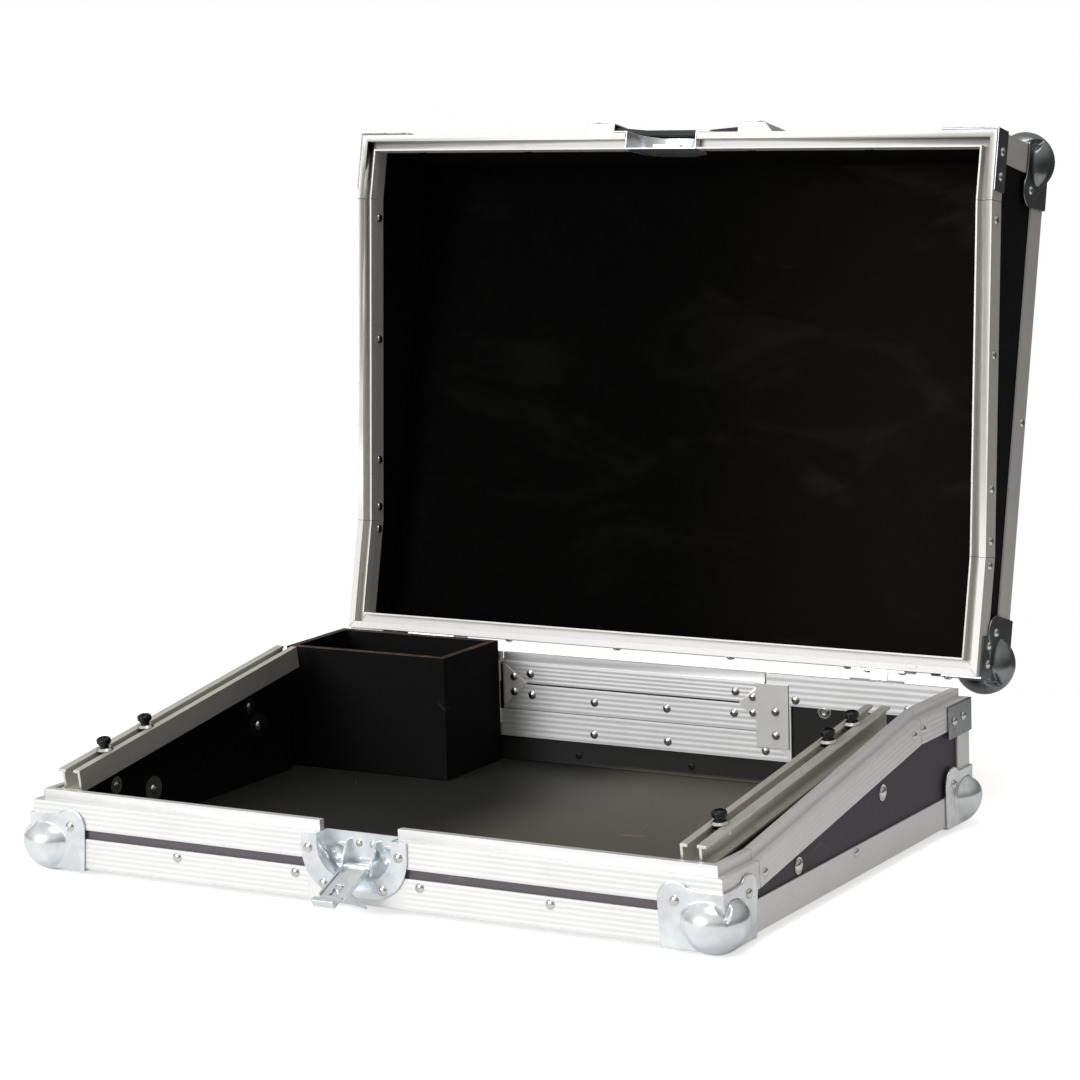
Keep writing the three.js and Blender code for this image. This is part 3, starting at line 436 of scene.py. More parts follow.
def grow(graph, values, source=None):
    """The mesh that a Geometry Nodes tree makes with these inputs."""
    holder = linked(bpy.data.objects.new("holder", source or bpy.data.meshes.new("holder")))
    growth = holder.modifiers.new("growth", "NODES")
    growth.node_group = graph.tree
    for item in graph.tree.interface.items_tree:
        if item.in_out == "INPUT" and item.name in values:
            growth[item.identifier] = values[item.name]
    return evaluated(holder)


# A strip with rounded ribs along it, between four corners
corner_names = ("Start low", "End low", "Start high", "End high")
ribbed, given = geometry_tree("ribbed_face", Vector=(*corner_names, "Outward"), Int=("Ribs",),
                              Float=("Rib height", "Skin"), Material=("Metal",))
steps = 8
grid = ribbed.node("GeometryNodeMeshGrid", {
    "Size X": 1.0, "Size Y": 1.0, "Vertices X": 2, "Vertices Y": given.out("Ribs") * steps + 1})
spot = ribbed.node("ShaderNodeSeparateXYZ", {0: ribbed.node("GeometryNodeInputPosition")})
along_share = spot + 0.5
up_share = spot.out("Y") + 0.5


def vector_mix(share, first, second):
    return ribbed.node("ShaderNodeMix", {0: share, 4: first, 5: second}, 1, data_type="VECTOR")


low_line, high_line = (vector_mix(along_share, given.out("Start " + end), given.out("End " + end))
                       for end in ("low", "high"))
marked = ribbed.node("GeometryNodeStoreNamedAttribute", {
    "Geometry": grid, "Name": "up_share", "Value": up_share}, data_type="FLOAT", domain="POINT")
flat = ribbed.node("GeometryNodeSetPosition", {
    "Geometry": marked, "Position": vector_mix(up_share, low_line, high_line)})
raised = ribbed.node("GeometryNodeExtrudeMesh", {
    "Mesh": flat, "Offset": given.out("Outward"), "Offset Scale": given.out("Skin"),
    "Individual": False}, mode="FACES")
stored = ribbed.node("GeometryNodeInputNamedAttribute", {"Name": "up_share"}, data_type="FLOAT")
wave = 0.5 - 0.5 * (stored * given.out("Ribs") * (2 * math.pi)).cosine()
lift = ribbed.node("ShaderNodeVectorMath", {
    0: given.out("Outward"), "Scale": wave * given.out("Rib height")}, operation="SCALE")
ribs_up = ribbed.node("GeometryNodeSetPosition", {
    "Geometry": raised, "Selection": raised.out("Top"), "Offset": lift})
end_tree(ribbed, made_of(ribbed, ribbed.node("GeometryNodeMergeByDistance", {
    "Geometry": joint(ribbed, ribs_up, flat), "Distance": 1e-6}), given.out("Metal")))

rib_height, rib_skin = 0.08 * mm, 0.04 * mm


def turned_way(matrix, way):
    return (matrix.to_3x3() @ Vector(way)).normalized()


def assembled(name, meshes, look, body, slot, *stands_for):
    """One piece out of several meshes, in one finish."""
    form = bmesh.new()
    for mesh in meshes:
        form.from_mesh(mesh)
        bpy.data.meshes.remove(mesh)
    bmesh.ops.recalc_face_normals(form, faces=form.faces)
    whole = as_mesh(form, name)
    whole.materials.append(look.material)
    return placed(name, shaded(whole), body, slot, *stands_for)


def ribbed_faces(name, body, matrix, faces, look=aluminium, height=rib_height):
    """Ribbed strips on an extrusion's flat faces: each is four corners, a side and a count."""
    meshes = []
    for corners, outward, ribs in faces:
        places = [matrix @ Vector(corner) for corner in corners]
        meshes.append(grow(ribbed, {
            **dict(zip(corner_names, places)), "Outward": turned_way(matrix, outward),
            "Ribs": ribs, "Rib height": height, "Skin": rib_skin, "Metal": look.material}))
    assembled(name, meshes, look, body, "extrusion")


def strip(start, end, rise, outward, ribs):
    """A strip whose low edge runs from start to end. Its high edge is that one moved by rise."""
    start, end, rise = Vector(start), Vector(end), Vector(rise)
    return (start, end, start + rise, end + rise), outward, ribs


def wall_strip(x0, x1, y, low, high, outward, ribs):
    return strip((x0, y, low), (x1, y, low), (0, 0, high - low), outward, ribs)


def edge_faces(level, turn):
    """The legs of an edge frame on the bottom or the top, and those up the side walls."""
    faces = []
    for side in (-1, 1):
        ends = (side * half, near_ball, level), (side * half, depth - near_ball, level)
        faces.append(strip(*ends, (0, 0, turn * leg), (side, 0, 0), leg_ribs))
        faces.append(strip(*ends, (-side * leg, 0, 0), (0, 0, -turn), leg_ribs))
    for y, inward in ((0, leg), (depth, -leg)):
        faces.append(strip((-span, y, level), (span, y, level), (0, inward, 0), (0, 0, -turn),
                           leg_ribs))
    return faces


def post_faces(side, y, outward, foot, top):
    """Both legs of the upright angle at a corner."""
    ends = (side * half, y, foot), (side * half, y, top)
    return [strip(*ends, (0, -outward * leg, 0), (side, 0, 0), leg_ribs),
            strip(*ends, (-side * leg, 0, 0), (0, outward, 0), leg_ribs)]


def side_line(side, inward, shift):
    """The four corners of a line along a side rim, at a height over its ledge."""
    x, move = side * (half - inward), shift * bend
    return [(x, inward, front_ledge + shift), (x, front_level - move, front_ledge + shift),
            (x, depth - rear_level - move, rear_ledge + shift),
            (x, depth - inward, rear_ledge + shift)]


def side_runs(first, second, ways, ribs):
    """The three runs of a side rim between two of its lines."""
    return [((first[i], first[i + 1], second[i], second[i + 1]), way, ribs)
            for i, way in enumerate(ways)]


def side_faces(side, inward, low, high, ribs):
    outward = (side if inward < rim_inner else -side, 0, 0)
    return side_runs(side_line(side, inward, low), side_line(side, inward, high), [outward] * 3,
                     ribs)


def side_tops(side, outer, inner, shift, ribs):
    ways = [UP, (0, -math.sin(slope), math.cos(slope)), UP]
    return side_runs(side_line(side, outer, shift), side_line(side, inner, shift), ways, ribs)


def front_top(side, outer, inner, level, ribs):
    """A run on the front rim's upper side, mitred at the corner."""
    start = dish_middle + side * dish_opening_half
    corners = [(x, inward, level) for inward in (outer, inner)
               for x in (start, side * (half - inward))]
    return corners, UP, ribs


for node in ("base_edge_frame", "base_rim_front_left", "base_rim_front_right", "base_rim_left",
             "base_rim_right", "base_rim_rear_left", "base_rim_rear_right"):
    dressed(node, "extrusion", extrusion_edge, [aluminium])

near_ball, post_gap = 30.0, 0.3
span = half - near_ball
dish_edge = flange_half - 3
faces = edge_faces(0, 1)
for side in (-1, 1):
    faces += post_faces(side, depth, 1, leg, rear_ledge - rim_leg - post_gap)
    faces.append(wall_strip(dish_middle + side * dish_edge, side * span, 0, 0, leg, FRONT,
                            leg_ribs))
faces.append(wall_strip(-span, span, depth, 0, leg, BACK, leg_ribs))
ribbed_faces("base_edge_ribs", "base", CASE, faces)

tongue_top = front_ledge + tongue_height
for side, word in SIDES:
    end, inner_end = side * half, side * (half - rim_inner)
    ribbed_faces("base_rim_front_ribs_" + word, "base", CASE, [
        wall_strip(dish_middle + side * dish_edge, end, 0, front_ledge - rim_leg, front_ledge,
                   FRONT, rim_ribs),
        front_top(side, tongue_start, rim_inner, tongue_top, tongue_ribs),
        front_top(side, 0, tongue_start, front_ledge, 1)])
    ribbed_faces("base_rim_side_ribs_" + word, "base", CASE, [
        *side_faces(side, 0, -rim_leg, 0, rim_ribs),
        *side_faces(side, tongue_start, 0, tongue_height, tongue_ribs),
        *side_faces(side, rim_inner, -rim_inner_leg, tongue_height, rim_ribs),
        *side_tops(side, tongue_start, rim_inner, tongue_height, tongue_ribs),
        *side_tops(side, 0, tongue_start, 0, 1)])
    start = side * hatch_opening_half
    ribbed_faces("base_rim_rear_ribs_" + word, "base", CASE, [
        wall_strip(start, inner_end, depth - rim_inner, rear_ledge - rim_inner_leg,
                   rear_ledge + tongue_height, FRONT, rim_ribs),
        wall_strip(start, end, depth, rear_ledge - rim_leg, rear_ledge, BACK, rim_ribs)])

# Dark dirt in the saw cuts. The hatch's slot uses the same finish as painted shade.
saw_dirt_and_gap_shade = finish("dirt_in_saw_cuts_and_painted_gap_shade", Metallic=0.0)
grit = noise(saw_dirt_and_gap_shade, 600, 2)
coat(saw_dirt_and_gap_shade, mixed(saw_dirt_and_gap_shade, grit, "151412", "3a3733"), 0.7 + 0.2 * grit)
cut_half, cut_out, groove_cut_out = 0.14 * mm, 0.17 * mm, 0.03 * mm


def saw_cut(node, matrix, point, normal, outs=(cut_out, cut_out), reach=None):
    """A thin slice of a CAD node, fuller than it by outs at the side wall and further in, which is
    the dark line where a profile was sawn. Only what is within reach millimetres of point stays."""
    middle, way = matrix @ Vector(point), turned_way(matrix, normal)
    form = clean_copy(node)
    for side in (-1, 1):
        bmesh.ops.bisect_plane(form, geom=[*form.verts, *form.edges, *form.faces],
                               plane_co=middle + way * side * cut_half, plane_no=way * side,
                               clear_outer=True)
    if reach:
        far = [v for v in form.verts if (v.co - middle).length > reach * mm]
        bmesh.ops.delete(form, geom=far, context="VERTS")
    form.normal_update()
    for vert in form.verts:
        out = vert.normal - way * vert.normal.dot(way)
        at_wall = abs(vert.co.x) > (half - 0.5) * mm
        vert.co += out.normalized() * outs[0 if at_wall else 1]
    open_edges = [edge for edge in form.edges if edge.is_boundary]
    bmesh.ops.triangle_fill(form, edges=open_edges, use_beauty=True)
    return as_mesh(form, "cut")


bends = (((0, front_level, front_ledge), (0, 1, bend)),
         ((0, depth - rear_level, rear_ledge), (0, 1, bend)))
for _, word in SIDES:
    cuts = [saw_cut("base_rim_" + word, CASE, *where) for where in bends]
    assembled("base_rim_cuts_" + word, cuts, saw_dirt_and_gap_shade, "base", "extrusion")

# -------------------------------- Zinc plated corners and braces
# Each corner is one pressing of bright zinc plated steel: three lobed plates that meet over a ball.
# Flat braces are bent round the upright corners at the rim. Domed rivets hold them to the boards.


def plated(name, dark, light, stain, metallic):
    """Zinc plating between two screen colours, clouded and faintly streaked with yellow."""
    skin = finish(name, Metallic=metallic)
    cloudy = noise(skin, 45, 4, 0.65, distortion=0.6)
    streaks = noise(skin, 160, 3, 0.6, (1, 1, 0.25))
    colour = mixed(skin, cloudy.between(0.3, 0.7), dark, light)
    colour = mixed(skin, streaks.between(0.5, 0.8) * 0.25, colour, stain)
    coat(skin, colour, 0.15 + 0.13 * cloudy + 0.06 * streaks,
         noise(skin, 1100, 1) * 0.4 + cloudy * 2, 0.00008, 0.3)
    return skin


zinc = plated("bright_zinc", "d4d9de", "eef1f4", "d2cfc4", 0.82)
# Painted shade: the same plating made darker for the braces and the lid's corners.
painted_shade_zinc = plated("painted_shade_zinc", "777b7f", "93979a", "7a776e", 1.0)

ball_radius, ball_in, ball_up, ball_squat, ball_wall = 21.3, 9.6, 16.0, 0.7, 3.0
notch_foot, notch_flare, notch_soft, notch_depth = 19.5, 0.6, 2.4, 2.0
skin_voxel, skin_kept = 0.0006, 0.3


def pressed_ball(place):
    """The ball of a corner, with the notch that its upright edge pulls into it."""
    form = bmesh.new()
    bmesh.ops.create_icosphere(form, subdivisions=5, radius=ball_radius)
    for vert in form.verts:
        rise = vert.co.z * (ball_squat if vert.co.z > 0 else 1)
        x, y, up = vert.co.x + ball_in, vert.co.y + ball_in, rise + ball_up
        deep = max(0, min(x, y, up) - ball_wall)
        x, y, up = x - deep, y - deep, up - deep
        outward, sideways = -(x + y) / math.sqrt(2), (x - y) / math.sqrt(2)
        inside = ((up - notch_foot) * notch_flare - abs(sideways)) / notch_soft + 0.5
        share = max(0.0, min(1.0, inside))
        share = share * share * (3 - 2 * share)
        outward += (min(outward, -notch_depth) - outward) * share
        x, y = (sideways - outward) / math.sqrt(2), (-sideways - outward) / math.sqrt(2)
        vert.co = place((x, y, up))
    return form


def ball_corner(where, matrix, end, side, word, foot, upward, look):
    """A corner pressing: the CAD plates and a fuller ball, grown into one softened skin."""
    node = f"{where}_ball_corner_{end}_{word}"
    corner = Vector((side * half, depth if end == "rear" else 0, foot))
    inward = Vector((-side, -1 if end == "rear" else 1, upward))
    ball = as_mesh(pressed_ball(lambda spot: matrix @ (corner + Vector(spot) * inward)), "ball")
    form = clean_copy(node)
    form.from_mesh(ball)
    bmesh.ops.recalc_face_normals(form, faces=form.faces)
    rough = linked(bpy.data.objects.new("pressing", as_mesh(form, node)))
    modify(rough, "REMESH", mode="VOXEL", voxel_size=skin_voxel)
    modify(rough, "SMOOTH", factor=0.5, iterations=4)
    modify(rough, "DECIMATE", ratio=skin_kept)
    skin = evaluated(rough)
    skin.materials.clear()
    skin.materials.append(look.material)
    for face in skin.polygons:
        face.use_smooth = True
    placed(node + "_made", skin, where, "zinc_steel", node)


for end in ("front", "rear"):
    for side, word in SIDES:
        ball_corner("base", CASE, end, side, word, 0, 1, zinc)

dressed_pair("base_brace_", "zinc_steel", 0.0004, painted_shade_zinc)

# -------------------------------- Rivets of the base
# Domed nickel plated rivets through edges and boards, and larger bolts with flat washers that hold
# the rack rail supports to the side walls.
nickel = finish("nickel_rivet", Metallic=1.0)
tarnish = noise(nickel, 260, 3)
coat(nickel, mixed(nickel, tarnish, "b9b9b8", "e4e3e1"), 0.12 + 0.14 * tarnish)


def three(graph, **parts):
    return graph.node("ShaderNodeCombineXYZ", parts)


def form_of(graph, kind, sizes, **moves):
    """A plain form such as a cylinder, with a Translation, Rotation or Scale."""
    plain = graph.node("GeometryNodeMesh" + kind, sizes)
    return graph.node("GeometryNodeTransform", {"Geometry": plain, **moves}) if moves else plain


def dome(graph, segments, rings, radius, height, foot):
    """A ball, squat or tall, about the height foot."""
    return form_of(graph, "UVSphere", {"Segments": segments, "Rings": rings, "Radius": 1.0},
                   Translation=three(graph, Z=foot),
                   Scale=three(graph, X=radius, Y=radius, Z=height))


stud_sizes = ("Head radius", "Head height", "Washer radius", "Washer thickness")
studs, given = geometry_tree("rivets", Geometry=("Places",), Float=stud_sizes, Material=("Metal",))
head_r, head_h, washer_r, thick = (given.out(size) for size in stud_sizes)
aim = studs.node("GeometryNodeInputNamedAttribute", {"Name": "facing"}, data_type="FLOAT_VECTOR")
stud = joint(studs, dome(studs, 16, 8, head_r, head_h, thick), form_of(studs, "Cylinder", {
    "Vertices": 24, "Radius": washer_r, "Depth": thick * 2}))
end_tree(studs, made_of(studs, studs.node("GeometryNodeInstanceOnPoints", {
    "Points": given.out("Places"), "Instance": stud,
    "Rotation": studs.node("FunctionNodeAlignRotationToVector", {"Vector": aim}, axis="Z")}),
    given.out("Metal")))


def rivets(name, body, matrix, places, head=(3.1, 1.5), washer=(3.2, 0.2)):
    """Rivets at places, each a point and a way to face. Sizes are a radius and a height."""
    points = bpy.data.meshes.new("points")
    points.from_pydata([matrix @ Vector(point) for point, _ in places], [], [])
    ways = points.attributes.new("facing", "FLOAT_VECTOR", "POINT")
    for i, (_, out) in enumerate(places):
        ways.data[i].vector = turned_way(matrix, out)
    sizes = {size: value * mm for size, value in zip(stud_sizes, (*head, *washer))}
    mesh = grow(studs, {**sizes, "Metal": nickel.material}, points)
    assembled(name, [mesh], nickel, body, "zinc_steel")


def facing(outward, points):
    return [(point, outward) for point in points]


def on_sides(inward, spots, outward=1):
    """Places on both side walls, inward of their faces, for pairs of a depth and a height."""
    return [((side * (half - inward), y, z), (side * outward, 0, 0))
            for side in (-1, 1) for y, z in spots]


def mirrored(distances, y, z):
    return [(side * x, y, z) for side in (-1, 1) for x in distances]


plate_out = 1.8
corner_lobe = (31.0, 27.5)


def corner_rivets(top):
    """One rivet in each lobe of the four corner pressings of the base or the lid."""
    inward, z = corner_lobe[0], closed_height - corner_lobe[1] if top else corner_lobe[1]
    return (facing(FRONT, mirrored([half - inward], -plate_out, z))
            + facing(BACK, mirrored([half - inward], depth + plate_out, z))
            + on_sides(-plate_out, ((inward, z), (depth - inward, z))))


wall_rivets = (-139.5, -46.9, 46.9, 139.5)
places = facing(FRONT, [(x, 0, 15.2) for x in (-138.9, -47, 45.6, 138.4)])
places += facing(BACK, [(x, depth, 12) for x in wall_rivets])
places += corner_rivets(False)
places += on_sides(0, ((55.9, 34.1), (277.2, 72.6), (291.5, 74.0), (185.4, 15.8)))
places += on_sides(-sheet, ((339.7, 70.2), (354.8, 71.1)))
places += facing(BACK, mirrored((241, 226), depth + sheet, 71.5))
places += facing(FRONT, mirrored((215.0, 130.0), depth - rim_inner, 71.0))
rivets("base_rivets", "base", CASE, places)

bolt_in, support_in = 1.8, half - 233.7
rivets("base_bolts", "base", CASE, on_sides(bolt_in, ((104.6, 26.5), (229.2, 45.1))),
       head=(4.2, 1.9), washer=(5.4, 0.7))
rivets("support_washers", "base", CASE, on_sides(support_in, ((101.9, 29.5), (228.1, 49.0)), -1),
       head=(3.6, 1.7), washer=(9.2, 0.8))
rivets("support_nuts", "base", CASE, on_sides(support_in, ((61.5, 41.0), (218.1, 64.9)), -1),
       head=(3.0, 1.2), washer=(6.0, 0.6))

# -------------------------------- Cable hatch
# A flap in the back wall, hinged along its foot. It and its frame are the same ribbed extrusion,
# mitred at the corners, and two flat plates on the frame stop the flap when it is shut.
dressed("hatch_frame", "extrusion", extrusion_edge, [aluminium])
stop_front, stop_inner, stop_near = 0.1168, (-0.104, -0.096), -0.1085
surround = dressed("hatch_surround", "extrusion", extrusion_edge, [aluminium, lid_shade_and_plate_aluminium],
                   lambda normal, middle: 1 if abs(normal.y) > 0.9 and middle.y < 0.116 else 0)
for vert in surround.data.vertices:
    if vert.co.y < stop_front and stop_inner[0] < vert.co.x < stop_inner[1]:
        vert.co.x = stop_near
board("hatch_panel", (0, 1, 0))
for node in ("hatch_hinge_leaf_fixed", "hatch_hinge_leaf_moving"):
    dressed(node, "zinc_steel", 0.0002, [zinc])

hatch_half, hatch_bottom, hatch_face = 105.8, 46.9, 18.7
flap_y = depth - rim_inner + 0.3
flap_mid = hatch_bottom + hatch_face
gap_half = hatch_half - hatch_face


def front_strip(y, low, low_half, high, high_half, ribs):
    """A strip that faces the front, between two level edges of these heights and half widths."""
    corners = [(side * wide, y, z) for z, wide in ((low, low_half), (high, high_half))
               for side in (-1, 1)]
    return corners, FRONT, ribs


ribbed_faces("hatch_ribs", "hatch_flap", CASE, [
    front_strip(flap_y, hatch_bottom, hatch_half, flap_mid, gap_half, rim_ribs),
    front_strip(flap_y, flap_mid + 0.9, gap_half, rear_ledge, hatch_half - 3, rim_ribs)])
# A dark strip along the slot between the flap and the frame above it: painted shade in the slot.
ribbed_faces("hatch_gap", "hatch_flap", CASE, [
    front_strip(flap_y, flap_mid - 0.2, gap_half, flap_mid + 1.1, gap_half, 1)], saw_dirt_and_gap_shade, 0.12 * mm)


def prism(outlines, form=None):
    """The closed solid between two outlines with the same number of corners, added to form."""
    form = form or bmesh.new()
    low, high = [[form.verts.new(spot) for spot in outline] for outline in outlines]
    form.faces.new(low)
    form.faces.new(reversed(high))
    for i in range(len(low)):
        j = (i + 1) % len(low)
        form.faces.new((low[j], low[i], high[i], high[j]))
    return as_mesh(form, "prism")


outline = [(gap_half - 1, flap_mid + 0.4), (hatch_half - 1.5, rear_ledge - 2),
           (hatch_half - 1.5, hatch_bottom + 2.5)]
end_plates = [prism([[CASE @ Vector((side * x, y, z)) for x, z in outline]
                     for y in (flap_y + 0.2, flap_y - 0.5)]) for side in (-1, 1)]
assembled("hatch_end_plates", end_plates, lid_shade_and_plate_aluminium, "hatch_flap", "extrusion")
sill, sill_y = hatch_bottom - 0.5, depth - rim_inner
ribbed_faces("hatch_sill_ribs", "base", CASE, [
    front_strip(sill_y, sill - leg, hatch_half + leg, sill, hatch_half, rim_ribs)])
rivets("hatch_flap_rivets", "hatch_flap", CASE, facing(FRONT, [(x, flap_y, z) for x, z in (
    (-97, 59.4), (-97, 70.5), (97, 59.4), (97, 70.5), (-82, 58), (-83, 73.5), (82, 58),
    (83.4, 73.5), (-30.2, 56.5), (28.6, 56.9))]))
stop_out, stop_heights = 1.2, (44.8, 61.6)
rivets("hatch_sill_rivets", "base", CASE, facing(FRONT, [
    *((x, sill_y, 33) for x in (-31, 29, 106.4)),
    *((x, sill_y - stop_out, z) for x in (-115, 115) for z in stop_heights)]))

# -------------------------------- Cable box and rail supports
# Black painted plywood: an open-topped box in the back left corner for spare cable, and an upright
# board under each rack rail. The saw cut edges have lost some paint and show the wood.
worn_edge = finish("worn_wood_edge", Metallic=0.0)
plies = noise(worn_edge, 90, 3, 0.6, (1, 1, 6))
coat(worn_edge, mixed(worn_edge, plies.between(0.35, 0.75), "231c18", "57433a"),
     0.7 + 0.2 * plies, plies, 0.0002, 0.6)
box_top_from = 0.09
dressed("cable_box", "black_wood", 0.0004, [inner_black, worn_edge],
        lambda normal, middle: 1 if normal.z > 0.7 and middle.z > box_top_from else 0)
dressed_pair("rail_support_", "black_wood", 0.0004, inner_black)

# -------------------------------- Rack rails
# Two open channels in duller aluminium lie along the sloping supports. Square nuts slide in them,
# and black cross-headed screws with pale cup washers stand in the nuts, ready for a controller.
rail_metal = finish("dull_aluminium", Metallic=0.8)
drawn = noise(rail_metal, 500, 3, 0.7, (1, 0.03, 1))
spots = noise(rail_metal, 60, 4)
colour = mixed(rail_metal, drawn, "cfcdc7", "e6e4de")
coat(rail_metal, mixed(rail_metal, spots.between(0.62, 0.8) * 0.5, colour, "8f8a7f"),
     0.38 + 0.2 * spots, drawn, 0.00005, 0.6)
dressed_pair("rack_rail_", "rail", 0.0003, rail_metal)

black_steel = finish("black_steel", Metallic=0.55)
paler_where = noise(black_steel, 300, 3)
coat(black_steel, mixed(black_steel, paler_where, "0c0c0d", "242426"), 0.2 + 0.25 * paler_where)

screw_sizes = {"Shaft radius": 2.9, "Head radius": 4.9, "Head height": 4.2, "Lift": 5.0,
               "Tip depth": 8.5, "Thread pitch": 1.0}
screw, given = geometry_tree("rack_screw", Float=screw_sizes, Material=("Black", "Pale"))
shaft_r, head_r, head_h, lift, tip, pitch = (given.out(size) for size in screw_sizes)


def bar(radius, low, high):
    """A round bar of the screw between two heights."""
    return form_of(screw, "Cylinder", {"Vertices": 24, "Radius": radius, "Depth": high - low},
                   Translation=three(screw, Z=(low + high) * 0.5))


coil_count, blade, blade_turn = 14, (0.0012, 0.0062, 0.0034), 0.5
cup_top, cup_foot, cup_height, cup_middle = 0.0044, 0.0058, 0.0015, (0, 0, 0.0003)
nut_size, nut_middle = (0.0098, 0.0098, 0.0042), (0, 0, -0.0044)
coils = screw.node("GeometryNodeInstanceOnPoints", {
    "Points": screw.node("GeometryNodeMeshLine", {
        "Count": coil_count, "Start Location": three(screw, Z=tip * -1),
        "Offset": three(screw, Z=pitch)}, mode="OFFSET"),
    "Instance": bar(shaft_r, pitch * 0.0, pitch * 0.5)})
blades = [form_of(screw, "Cube", {"Size": blade}, Translation=three(screw, Z=lift + head_h),
                  Rotation=(0, 0, turn + blade_turn)) for turn in (0, math.pi / 2)]
head = screw.node("GeometryNodeMeshBoolean", {
    1: [bar(head_r, lift, lift + head_h * 0.55),
        dome(screw, 24, 12, head_r, head_h * 0.5, lift + head_h * 0.5)]}, operation="UNION")
slotted = screw.node("GeometryNodeMeshBoolean", {0: head, 1: blades}, operation="DIFFERENCE")
collar = bar(shaft_r * 1.35, lift - 0.0012, lift + 0.0002)
cup = form_of(screw, "Cone", {
    "Vertices": 28, "Radius Top": cup_top, "Radius Bottom": cup_foot, "Depth": cup_height},
    Translation=cup_middle)
nut = form_of(screw, "Cube", {"Size": nut_size}, Translation=nut_middle)
black_parts = joint(screw, slotted, collar, bar(shaft_r * 0.92, tip * -1, lift), coils)
end_tree(screw, joint(screw, made_of(screw, black_parts, given.out("Black")),
                      made_of(screw, joint(screw, cup, nut), given.out("Pale"))))

rail_front = 12.2
for word, slot_x, top, tilt, rows in (("left", -233.3, 61.9, 8.4, (51, 96.5)),
                                      ("right", 229.1, 58.6, 7.1, (49, 201, 237))):
    tilt = math.radians(tilt)
    rail = CASE @ Matrix.Translation((slot_x, rail_front, top)) @ Matrix.Rotation(tilt, 4, "X")
    for i, y in enumerate(rows, 1):
        mesh = grow(screw, {**{size: value * mm for size, value in screw_sizes.items()},
                            "Black": black_steel.material, "Pale": nickel.material})
        along = (y - rail_front) / math.cos(tilt)
        mesh.transform(rail @ Matrix.Translation((0, along, 0)) @ Matrix.Scale(1 / mm, 4)
                       @ Matrix.Rotation(0.7 * i, 4, "Z"))
        node = f"rack_screw_{word}_{i}"
        placed(node + "_made", shaded(mesh, 40), frame["nodes"][node]["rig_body"], "screw", node)

# -------------------------------- Latch
# A recessed butterfly latch: a pressed dish in the base with two ears for the hinge pin, and the
# carrier, hook and wing hanging open from it. All of it is bright zinc plated steel.
for node, edge in (("latch_dish", 0.0005), ("latch_carrier", 0.0003), ("latch_hook", 0.0003)):
    dressed(node, "zinc_steel", edge, [zinc])
latch_frame = CASE @ Matrix.Translation((dish_middle, 3.5, 22.5)) @ Matrix.Rotation(
    math.radians(113), 4, "X")
wing_face, wing_half, axle_up = -0.9, 0.9, 24.0
fishtail = [(-17, -11), (-9.5, -9), (-4.5, -4.5), (4.5, -4.5), (9.5, -9), (17, -11), (8, -0.6),
            (-8, -0.6)]
wings = [[latch_frame @ Vector((x, wing_face + y, axle_up + z)) for x, y in fishtail]
         for z in (-wing_half, wing_half)]
wing = assembled("latch_wing_made", [prism(wings, clean_copy("latch_wing"))], zinc,
                 frame["nodes"]["latch_wing"]["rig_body"], "zinc_steel", "latch_wing")
modify(wing, "BEVEL", width=0.0004, segments=2, limit_method="ANGLE", harden_normals=True)
dish_floor = 10.8
rivets("latch_rivets", "base", CASE, facing(FRONT, [(dish_middle + x, -sheet, z) for x, z in (
    (-34, 33), (33, 33), (-23.5, 10.8), (20.5, 10.8))]))
rivets("latch_spring_rivets", "base", CASE,
       facing(FRONT, [(dish_middle + x, dish_floor, 36) for x in (-3.5, 6.9)]),
       head=(2.2, 1.2), washer=(2.4, 0.2))


def spun(name, points, profile, look, slot="zinc_steel", facets=28):
    """A turned shape at each point of the base, towards the front: profile is pairs of a radius
    and a height over the face, in millimetres."""
    meshes = []
    turns = [2 * math.pi * i / facets for i in range(facets)]
    way = Vector(FRONT).to_track_quat("Z", "Y").to_matrix().to_4x4()
    for point in points:
        form = bmesh.new()
        rings = []
        for radius, height in profile:
            if radius:
                rings.append([form.verts.new((radius * mm * math.cos(a), radius * mm * math.sin(a),
                                              height * mm)) for a in turns])
            else:
                rings.append([form.verts.new((0, 0, height * mm))] * facets)
        for ring, following in zip(rings, rings[1:]):
            for i in range(facets):
                j = (i + 1) % facets
                form.faces.new(list(dict.fromkeys((ring[i], ring[j], following[j], following[i]))))
        bmesh.ops.recalc_face_normals(form, faces=form.faces)
        mesh = as_mesh(form, name)
        mesh.transform(Matrix.Translation(CASE @ Vector(point)) @ way)
        meshes.append(mesh)
    assembled(name, meshes, look, "base", slot)


spun("latch_cups", [(dish_middle - 17.6, dish_floor, 29.5), (dish_middle + 18.7, dish_floor, 30)],
     ((0, 0.1), (3.6, 0.1), (4.3, 0.5), (4.8, 1.7), (5.4, 2.1), (6.0, 1.7), (6.4, 0.2), (6.4, -0.3),
      (0, -0.3)), zinc)
back_board = depth - 8.3
spun("rear_board_bolt", [(151.5, back_board, 64.5)],
     ((0, 1.4), (1.6, 1.6), (2.0, 0.9), (2.4, 1.9), (3.4, 1.5), (3.7, 0.6), (5.2, 0.7), (5.6, -0.3),
      (0, -0.3)), nickel)
spun("floor_screws", [(x, back_board, 16) for x in (-45.1, 46.5)],
     ((0, 0.2), (0.9, 0.2), (1.2, 0.9), (2.4, 0.7), (2.9, -0.3), (0, -0.3)), black_steel, "screw")

